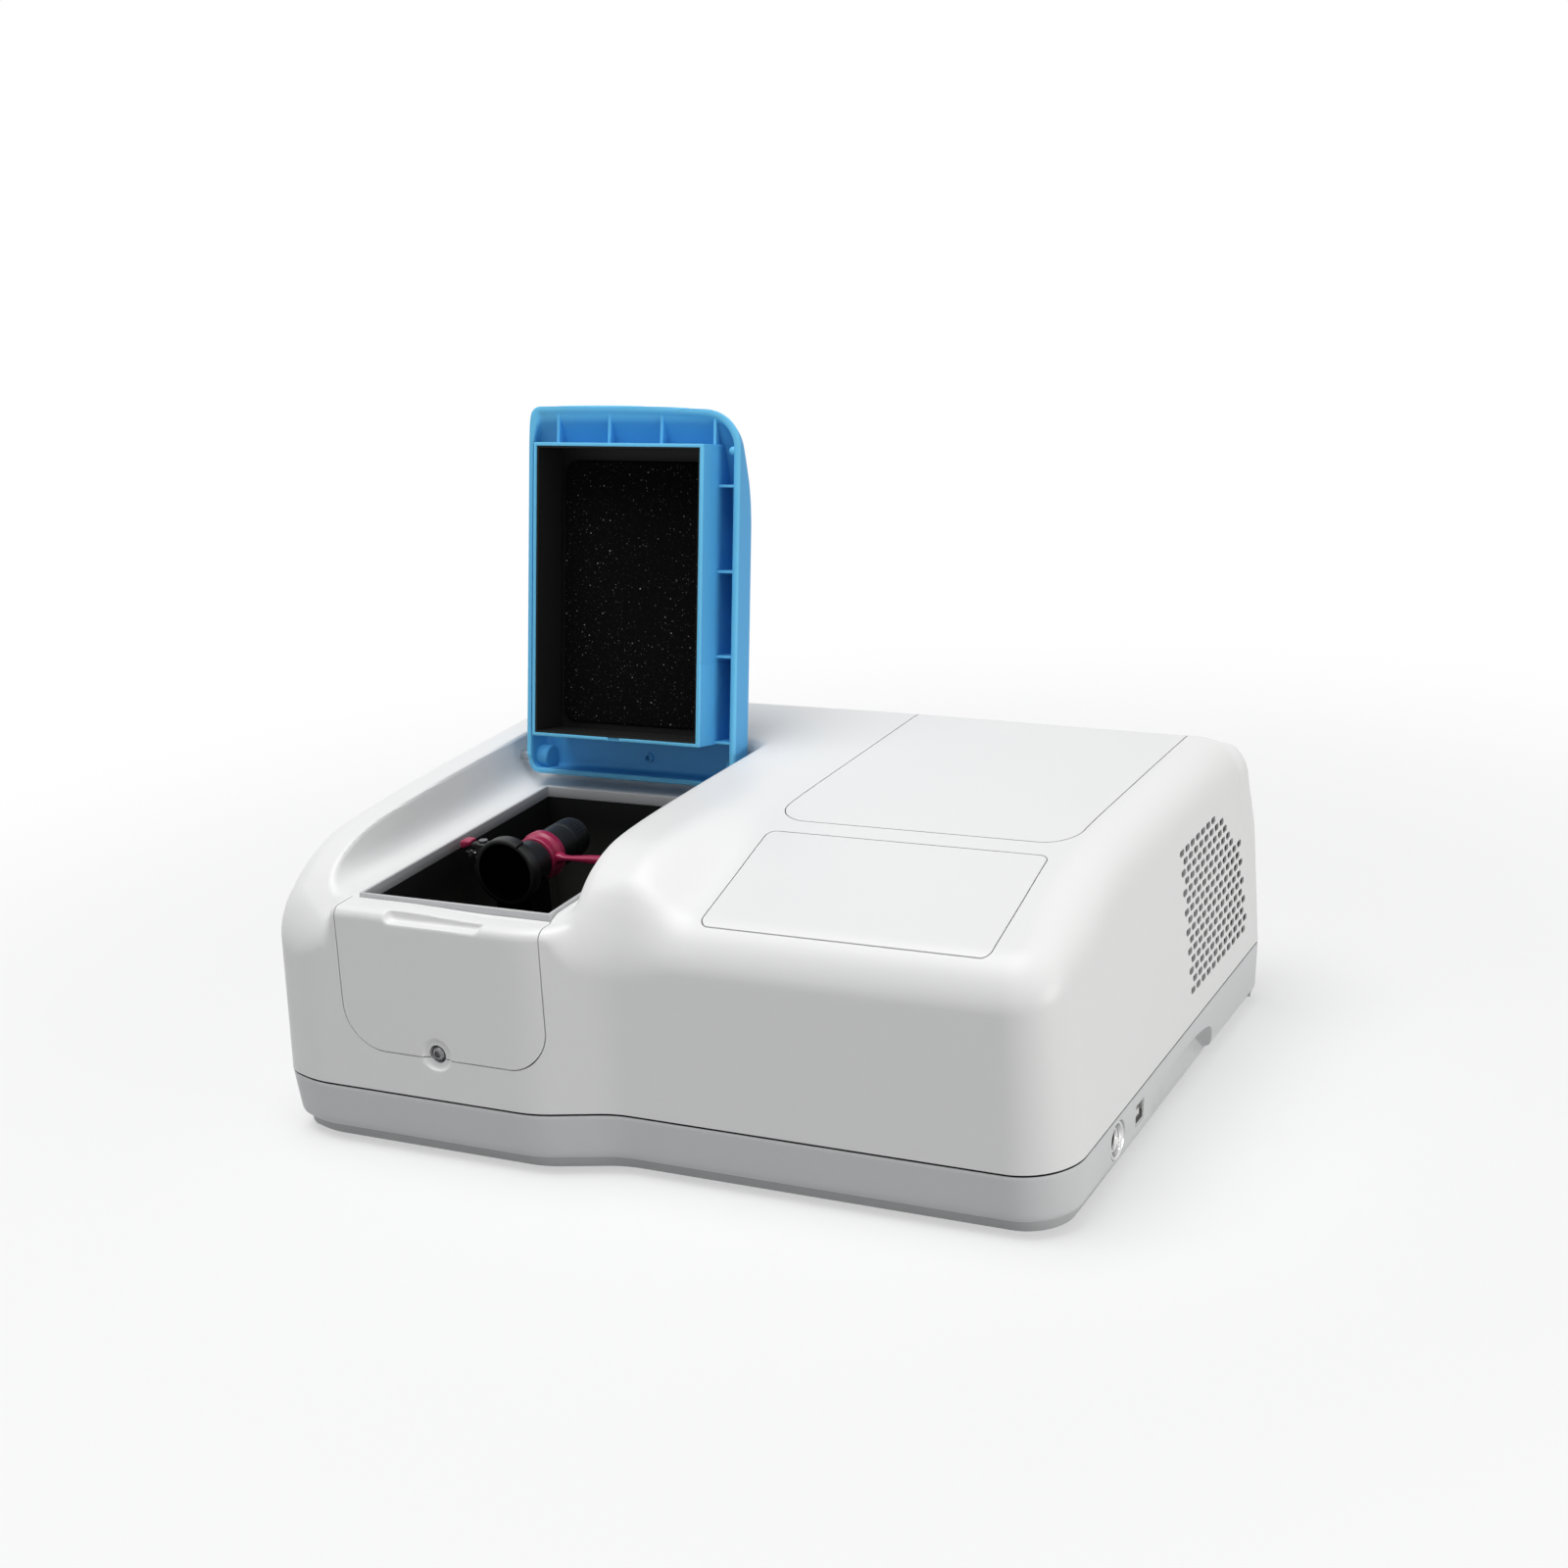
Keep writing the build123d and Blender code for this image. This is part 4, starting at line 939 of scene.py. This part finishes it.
def lid_parts():
    """Light box, ribs and bosses, each a closed shape that runs up into the lid's top."""
    box = piece("light_box", *box_shape(-172.8, -56.8, 24, 200.4, 88.6, 135), swung=True)
    soften(box, 0.7, 2)
    for corners in ((-170.8, -58.8, 26, 198.4, 80, 140), (-119.3, -111, 194, 202, 80, 90),
                    (-57.05, -50, 150.8, 151.2, 80, 140)):
        cut(box, box_shape(*corners), swung=True)
    soften(box, 0.35, 2, 60)
    parts = [box]
    ribs = [(x - 0.8, x + 0.8, 4, 25) for x in (-168, -132, -96, -60)]
    ribs += [(-57.5, -44.8, y - 0.8, y + 0.8) for y in (48, 98, 148, 199)]
    for sides in ribs:
        parts.append(soften(piece("rib", *box_shape(*sides, 108.2, 135), swung=True), 0.3, 2))
    latch = ((107.4, 0.4), (107.6, 1.5), (108.2, 2.3), (109.2, 2.7), (135, 3.1))
    stop = ((110.3, 0.3), (110.6, 1.1), (111.6, 1.7), (135, 2.0))
    left = ((-187, 7.6), (-178.4, 7.5), (-177.6, 6.9), (-177.3, 5.8), (-177.3, 1))
    right = ((-52.1, 1), (-52.1, 7.0), (-51.5, 7.5), (-44.5, 7.6))
    for profile, axis, centre, sides in ((latch, "z", (-47.8, 27.6, 0), 32),
                                         (stop, "z", (-46.6, 54.8, 0), 24),
                                         (left, "x", HINGE, 48), (right, "x", HINGE, 48),
                                         (((124.6, 2.9), (135, 3.4)), "z", LID_BOSS, 32)):
        parts.append(piece("boss", *turned_shape(profile, axis, centre, sides), swung=True))
    return parts


def make_lid():
    step = 1.0
    lid = piece("lid", *surface(lid_distance, (-191, -5, 103), (-41, 229, 132), step), swung=True)
    core = surface(lid_core, (-191, -5, 79), (-41, 229, 132), 3.0)
    inside = None
    for part in lid_parts():
        inside = combine(inside, part, "UNION") if inside else part
    combine(inside, piece("core", *core, swung=True), "INTERSECT")
    combine(lid, inside, "UNION")
    for start, end in ((-195, -178.9), (-60, -36)):
        cut(lid, turned_shape(((start, 4.55), (end, 4.55)), "x", HINGE), swung=True)
    cut(lid, turned_shape(((120, 1.7), (127.4, 1.7)), "z", LID_BOSS), swung=True)
    done(lid, "lid_blue", "lid_shell", body="lid")


def foam_distance(x, y, z):
    """A thin pad with rounded corners and an uneven, slightly crowned face."""
    u = np.abs(x + 113.9) - (53.2 - 9)
    v = np.abs(y - 113.9) - (79.7 - 9)
    plan = np.hypot(np.maximum(u, 0), np.maximum(v, 0)) + np.minimum(np.maximum(u, v), 0) - 9
    uneven = (np.sin(1.31 * x + 0.7 * y) + np.sin(0.83 * y - 1.1 * x + 2)
              + np.sin(1.9 * x + 4) * np.sin(1.7 * y + 1)) / 3
    crown = 0.35 * (1 - np.clip(-plan / 30, 0, 1))
    face = 114.7 + crown + 0.12 * uneven - z
    return round_max(round_max(plan + 0.1 * uneven, face, 1.5), z - 118, 0.4)


def make_foam():
    step = 1.1
    foam = piece("light_trap_foam", *surface(foam_distance, (-174, 31, 112), (-58, 197, 120), step),
                 swung=True)
    done(foam, "black_foam", "lid_foam", body="lid", angle=60)


make_lid()
make_foam()


# Micro-volume head

def oval(centre, half_y, half_z, power=3.0, parts=28):
    """A rounded section across the x direction."""
    ring = []
    for a in around(parts):
        c, s = math.cos(a), math.sin(a)
        ring.append((centre[0], centre[1] + half_y * math.copysign(abs(c) ** (2 / power), c),
                     centre[2] + half_z * math.copysign(abs(s) ** (2 / power), s)))
    return ring


def bar_shape(y, power, stations):
    """A bar along x with rounded sections; stations are (x, z, half width, half height)."""
    return loft([oval((x, y, z), half_y, half_z, power) for x, z, half_y, half_z in stations])


def make_drum():
    """Round front with a deep recess and a notched rim, flaring back into the neck."""
    face = (
        (93.2, 0.5), (93.2, 15.6), (92.4, 16.4), (89.2, 16.9), (88.35, 17.1), (88, 17.6),
        (88, 19.2), (88.3, 19.8), (89, 20), (95, 20), (95.8, 19.8), (96.3, 19.2),
    )
    stations = [(y, radius, DRUM_Z) for y, radius in face]
    for t in (0.05, 0.12, 0.22, 0.35, 0.5, 0.65, 0.8, 0.92, 1):
        drop = math.sin(t * math.pi / 2) ** 0.75
        stations.append((96.5 + 10 * t, 19 - 6.1 * drop, DRUM_Z - 3 * drop))
    tail = ((117.6, 12.8), (118.4, 12.5), (118.7, 11.9))
    stations += [(y, radius, HEAD[2]) for y, radius in tail]
    drum = piece("head_drum", *loft([[(HEAD[0] + radius * math.cos(t), y, z + radius * math.sin(t))
                                      for t in around(96)] for y, radius, z in stations]))
    tilt = math.radians(33)
    points, faces = box_shape(-0.7, 0.7, 87, 97.2, 17.6, 21)
    notch = [(HEAD[0] + x * math.cos(tilt) + z * math.sin(tilt), y,
              DRUM_Z - x * math.sin(tilt) + z * math.cos(tilt)) for x, y, z in points]
    cut(drum, (notch, faces))
    done(drum, "black_anodised", "arch_drum", angle=38)


def make_ring():
    profile = ((119.5, 5.6), (119.5, 12.6), (119.8, 13.2), (120.4, 13.5), (121.2, 13.4),
               (124.4, 13.0), (125.4, 13.1), (126.2, 13.7), (126.7, 14.3), (127.4, 14.5),
               (131.2, 14.4), (131.9, 14.0), (132.3, 13.2), (132.3, 5.6))
    ring = piece("setting_ring_body", *turned_shape(profile, "y", HEAD, 96))
    cut(ring, turned_shape(((100, 5.4), (140, 5.4)), "y", HEAD, 64))
    done(ring, "crimson", "ring_collar", body="setting_ring", angle=40)


def make_lever():
    lever = piece("setting_lever", *bar_shape(125.2, 3.2, (
        (-121.6, 91.6, 2.8, 2.4), (-119.8, 91.8, 3.2, 2.9), (-118, 91.9, 3.0, 2.6),
        (-115.8, 91.9, 2.4, 1.5), (-112, 92, 2.3, 1.2), (-106, 92.3, 2.6, 1.5),
        (-98, 92.6, 3.0, 2.1), (-90, 92.7, 3.2, 2.5), (-80, 92.6, 3.3, 2.9),
        (-77.8, 92.6, 3.1, 2.7), (-76.9, 92.6, 2.4, 2.0), (-76.5, 92.6, 1.2, 1.0))))
    done(lever, "crimson", "ring_lever", body="setting_ring", angle=50)


def make_barrel():
    profile = ((132.9, 5.5), (132.9, 11.9), (133.4, 12.4), (147.2, 12.4), (147.4, 12.2),
               (147.9, 12.2), (148.1, 12.4), (158, 12.3), (161.6, 12.0), (163.4, 11.3),
               (164.2, 10.4), (164.5, 9.2), (164.3, 8.2), (163.9, 7.8), (163.9, 0.5))
    barrel = piece("head_barrel", *turned_shape(profile, "y", HEAD, 96))
    flute = ((150.6, 0.05), (151.2, 0.3), (158.4, 0.3), (159.2, 0.05))
    flutes = []
    for a in around(36):
        place = (HEAD[0] + 12.3 * math.sin(a), 0, HEAD[2] + 12.3 * math.cos(a))
        flutes.append(turned_shape(flute, "y", place, 8))
    cut(barrel, join_shapes(flutes))
    done(barrel, "black_anodised", "barrel", angle=35)


def make_arm():
    bar = piece("arm_bar", *bar_shape(101, 4, (
        (-167, 104.1, 1.9, 1.7), (-166.6, 104.1, 2.3, 2.1), (-163, 104, 2.4, 2.3),
        (-159, 104, 2.3, 2.2), (-157, 104, 2.6, 2.4), (-153, 104, 3.0, 2.5))))
    add(bar, turned_shape(((94.6, 3.2), (95, 4), (105.9, 4), (106.4, 3.4)), "z", ARM_PIVOT, 40))
    cut(bar, turned_shape(((87, 1.65), (110, 1.65)), "z", ARM_PIVOT, 32))
    done(bar, "black_anodised", "swing_arm", body="sample_arm", angle=40)
    cap = piece("arm_grip", *bar_shape(101, 4.5, (
        (-168.8, 104.4, 2.6, 1.6), (-168.4, 104.6, 3.4, 2.3), (-167, 105, 3.8, 2.7),
        (-164.5, 105.6, 3.8, 2.2), (-162.6, 106.0, 3.7, 1.7), (-161.7, 106.2, 3.3, 1.3),
        (-161.3, 106.3, 2.7, 0.9))))
    done(cap, "crimson", "arm_cap", body="sample_arm", angle=40)
    pin = (
        (96.5, 0.15), (96.6, 0.6), (97, 1.05), (97.7, 1.3), (99.4, 1.3), (99.5, 1.75), (99.7, 1.9),
        (100.1, 1.9), (100.3, 1.7), (100.4, 1.2), (101.7, 1.2),
    )
    pins = [turned_shape(pin, "z", (x, 101, 0), 28) for x in (-165.1, -160.6)]
    pins = piece("pick_up_pins", *join_shapes(pins))
    done(pins, "steel", "contact_pins", body="sample_arm", angle=40)


make_drum()
make_ring()
make_lever()
make_barrel()
make_arm()


# Sockets in the base

def make_sockets():
    flange = (
        (216, 8.9), (231.2, 8.9), (231.2, 10.3), (231.5, 10.6), (233.2, 10.6), (233.8, 10.4),
        (234.1, 9.9), (234.1, 9.2), (233.8, 8.8), (233.2, 8.5), (225.5, 8.3), (225.5, 6.5),
        (231.6, 6.5), (232.1, 6.2), (232.1, 5.4), (231.6, 5.1), (224.5, 5.1), (224.5, 0.5),
    )
    socket = piece("round_socket_shell", *turned_shape(flange, "x", ROUND_SOCKET, 72))
    cut(socket, box_shape(226, 236, 79.2, 80.8, -8.2, -6.4))
    done(socket, "socket_silver", "round_socket", angle=35)
    core = ((224.4, 4.9), (230.2, 4.9), (230.5, 4.6), (230.5, 3.9), (229.8, 3.7), (229.8, 0.4))
    insert = piece("round_socket_insert", *turned_shape(core, "x", ROUND_SOCKET, 48))
    done(insert, "black_plastic", "round_insert", angle=35)

    outline = rounded_path(((109, -20), (121, -20), (121, -9), (109, -9)),
                           (0.7, 0.7, 2.2, 2.2), 200)[0]
    data = piece("data_socket_shell", *crosswise_prism(outline, 218, 233.3))
    cut(data, crosswise_prism(push(outline, -0.7), 222, 240))
    soften(data, 0.15, 1, 50)
    done(data, "socket_silver", "data_shell", angle=40)
    block = piece("data_socket_block", *box_shape(222, 232.6, 112.2, 117.8, -16.2, -12.8))
    soften(block, 0.3, 2)
    blades = [box_shape(224, 232.8, y - 0.35, y + 0.35, z - 0.15, z + 0.15)
              for y in (113.7, 116.3) for z in (-16.25, -12.75)]
    add(block, join_shapes(blades))
    done(block, "tongue_white", "data_tongue", angle=40)


make_sockets()


# Mains connection at the rear

INLET_X, SWITCH_X, SOCKET_Z, PLATE_Y = -171.0, -119.2, 33.0, 327.0


def cross_recess(place, size, depth):
    """Cutters for a cross recess; place turns (across, up, out) into (x, y, z)."""
    thin = size / 4.5
    bars = [box_shape(-u, u, -v, v, -depth, 5) for u, v in ((size, thin), (thin, size))]
    return [([place(*p) for p in points], faces) for points, faces in bars]


def unite(parts):
    for part in parts[1:]:
        combine(parts[0], part, "UNION")
    return parts[0]


def make_screws(name, node, spots, axis, radius, height):
    """Domed screw heads with cross recesses; axis is y on the rear panel, z on the underside."""
    profile = ((-0.05, 0.5), (-0.05, radius), (0.25, radius + 0.02), (0.55 * height, radius * 0.93),
               (0.85 * height, radius * 0.72), (height, radius * 0.4), (height, 0.2))
    if axis == "z":
        profile = [(-a, r) for a, r in profile]
    heads = []
    for x, y, z in spots:
        def place(u, v, w):
            if axis == "y":
                return x + u, y + height + w, z + v
            return x + u, y + v, z - height - w

        head = piece(name, *turned_shape(profile, axis, (x, y, z), 32))
        for bar in cross_recess(place, radius * 0.55, height * 0.6):
            cut(head, bar)
        heads.append(head)
    done(unite(heads), "steel", node, angle=35)


def make_inlet():
    outline = rounded_rectangle(INLET_X - 27.5, INLET_X + 27.5, 16, 50, 3)
    inlet = piece("inlet_shell", *lengthwise_prism(outline, PLATE_Y, PLATE_Y + 2))
    add(inlet, box_shape(INLET_X - 24.8, INLET_X + 24.8, 298, PLATE_Y + 0.5, 18.7, 47.3))
    mouth = ((-19, -11), (19, -11), (19, 5), (13, 11), (-13, 11), (-19, 5))
    mouth = rounded_path([(INLET_X + u, SOCKET_Z + v) for u, v in mouth], (1.2,) * 6, 200)[0]
    cut(inlet, lengthwise_prism(mouth, 306, 340))
    soften(inlet, 0.35, 2, 50)
    done(inlet, "rear_black", "power_inlet")
    pins = []
    for u, v in ((-10, -3), (0, 4), (10, -3)):
        x, z = INLET_X + u, SOCKET_Z + v
        pin = piece("inlet_contacts", *box_shape(x - 1, x + 1, 306.2, 321, z - 2, z + 2))
        pins.append(soften(pin, 0.45, 3))
    done(unite(pins), "socket_silver", "inlet_pins")


def make_switch():
    bezel = piece("switch_bezel", *box_shape(SWITCH_X - 12.6, SWITCH_X + 12.6,
                                             PLATE_Y, PLATE_Y + 2, 16.7, 49.3))
    soften(bezel, 0.9, 3)
    add(bezel, box_shape(SWITCH_X - 10.6, SWITCH_X + 10.6, 302, PLATE_Y + 0.5, 18.7, 47.3))
    cut(bezel, box_shape(SWITCH_X - 7.4, SWITCH_X + 7.4, 306, 340, 22.3, 43.7))
    soften(bezel, 0.3, 2, 60)
    done(bezel, "rear_black", "switch_frame")

    pivot = (SWITCH_X, 326, SOCKET_Z)
    cos, sin = math.cos(math.radians(8)), math.sin(math.radians(8))
    section = ((-10.2, -2), (-10.2, 0.5), (-9.9, 0.75), (-5, 2.2), (0, 3.0), (5, 2.2),
               (9.9, 0.75), (10.2, 0.5), (10.2, -2), (4, -8), (-4, -8))
    tilted = [(pivot[1] + v * cos - u * sin, pivot[2] + v * sin + u * cos) for u, v in section]
    rocker = piece("rocker_key", *crosswise_prism(tilted, SWITCH_X - 7, SWITCH_X + 7))
    soften(rocker, 0.5, 3, 50)
    add(rocker, turned_shape(((-7.15, 1.9), (7.15, 1.9)), "x", pivot, 24))
    done(rocker, "rocker_black", "switch_rocker", body="mains_rocker")


def make_rear():
    plate = piece("connection_plate", *box_shape(-209, -71, 324.5, PLATE_Y, 2.5, 66))
    for x, half in ((INLET_X, 25), (SWITCH_X, 10.8)):
        cut(plate, box_shape(x - half, x + half, 310, 335, 18.5, 47.5))
    soften(plate, 0.4, 2)
    done(plate, "rear_black", "rear_panel")
    make_inlet()
    make_switch()


make_rear()
make_screws("panel_screw_heads", "panel_screws",
            [(x, PLATE_Y, z) for x in (-201, -79) for z in (9, 59)], "y", 2.75, 1.7)
make_screws("base_screw_heads", "base_screws",
            [(-180, 40, -35), (180, 40, -35), (-180, 290, -35), (180, 290, -35), (0, 20, -35),
             (0, 300, -35)], "z", 3.9, 1.5)


# Camera, lights, floor

def camera():
    """The camera that was fitted to the photograph."""
    data = bpy.data.cameras.new("camera")
    obj = new_object("camera", data)
    right = Vector((0.88440, 0.45988, -0.07962))
    up = Vector((-0.07245, 0.30379, 0.94998))
    back = Vector((0.46107, -0.83440, 0.30199))
    turn = Matrix((right, up, back)).transposed().to_4x4()
    obj.matrix_world = Matrix.Translation((0.64278, -1.16961, 0.59692)) @ turn
    data.sensor_width = 36
    data.lens = 56.813
    data.shift_x = 0.01702
    data.shift_y = -0.00097
    data.clip_start = 0.05
    bpy.context.scene.camera = obj


def area_light(name, place, aim, size, power, colour=(1, 1, 1)):
    data = bpy.data.lights.new(name, "AREA")
    data.shape = "RECTANGLE"
    data.energy = power
    data.size, data.size_y = size
    data.color = colour
    obj = new_object(name, data)
    obj.location = place
    obj.rotation_euler = (Vector(aim) - Vector(place)).to_track_quat("-Z", "Y").to_euler()


def looked_at(owner):
    """1 where the camera looks, straight or by way of metal or glass."""
    rays = add_node(owner, "LightPath").outputs
    total = rays["Is Camera Ray"]
    for name in ("Is Glossy Ray", "Is Transmission Ray"):
        total = combined(owner, "MAXIMUM", total, rays[name])
    return total


def studio():
    area_light("key", (-0.35, -0.42, 2.46), (0, 0, 0.1), (1.7, 1.7), 47)
    area_light("side", (2.3, -0.3, 0.34), (0, 0, 0.12), (1.5, 0.6), 22, (1.0, 1.0, 0.985))
    area_light("front", (-0.5, -2.4, 0.9), (0, 0, 0.12), (1.5, 1.5), 1.6, (0.97, 0.985, 1.0))
    world = bpy.data.worlds.new("world")
    bpy.context.scene.world = world
    world.use_nodes = True
    nodes = world.node_tree.nodes
    soft = fill(nodes["Background"], {"Color": (0.965, 0.98, 1, 1), "Strength": 0.25})
    seen = add_node(world, "Background", {"Color": (1, 1, 1, 1), "Strength": 1.0})
    choose = add_node(world, "MixShader",
                      {0: looked_at(world), 1: soft.outputs[0], 2: seen.outputs[0]})
    fill(nodes["World Output"], {"Surface": choose.outputs[0]})


def floor():
    """A pale floor, white to the eye apart from the object's shadow, that fades into white."""
    mesh = bpy.data.meshes.new("floor")
    mesh.from_pydata([(-8, -8, 0), (8, -8, 0), (8, 8, 0), (-8, 8, 0)], [], [(0, 1, 2, 3)])
    obj = new_object("floor", mesh)
    mat = bpy.data.materials.new("floor")
    mat.use_nodes = True
    matt = fill(principled(mat), {"Base Color": (0.43, 0.43, 0.43, 1), "Roughness": 0.8,
                                  "Specular IOR Level": 0.0})
    white = add_node(mat, "Emission", {"Strength": 1.0})
    lift = add_node(mat, "Emission", {"Strength": 0.52})
    near = add_node(mat, "AddShader", {0: matt.outputs[0], 1: lift.outputs[0]})
    place = add_node(mat, "TexCoord").outputs["Object"]
    length = add_node(mat, "VectorMath", {0: place}, operation="LENGTH")
    fade = add_node(mat, "MapRange", {"Value": length.outputs["Value"], "From Min": 0.35,
                                      "From Max": 1.0}, interpolation_type="SMOOTHSTEP")
    whiter = add_node(mat, "MixShader",
                      {0: fade.outputs["Result"], 1: near.outputs[0], 2: white.outputs[0]})
    choose = add_node(mat, "MixShader",
                      {0: looked_at(mat), 1: matt.outputs[0], 2: whiter.outputs[0]})
    fill(mat.node_tree.nodes["Material Output"], {"Surface": choose.outputs[0]})
    mesh.materials.append(mat)


camera()
studio()
floor()
bpy.context.scene.view_settings.view_transform = "Standard"
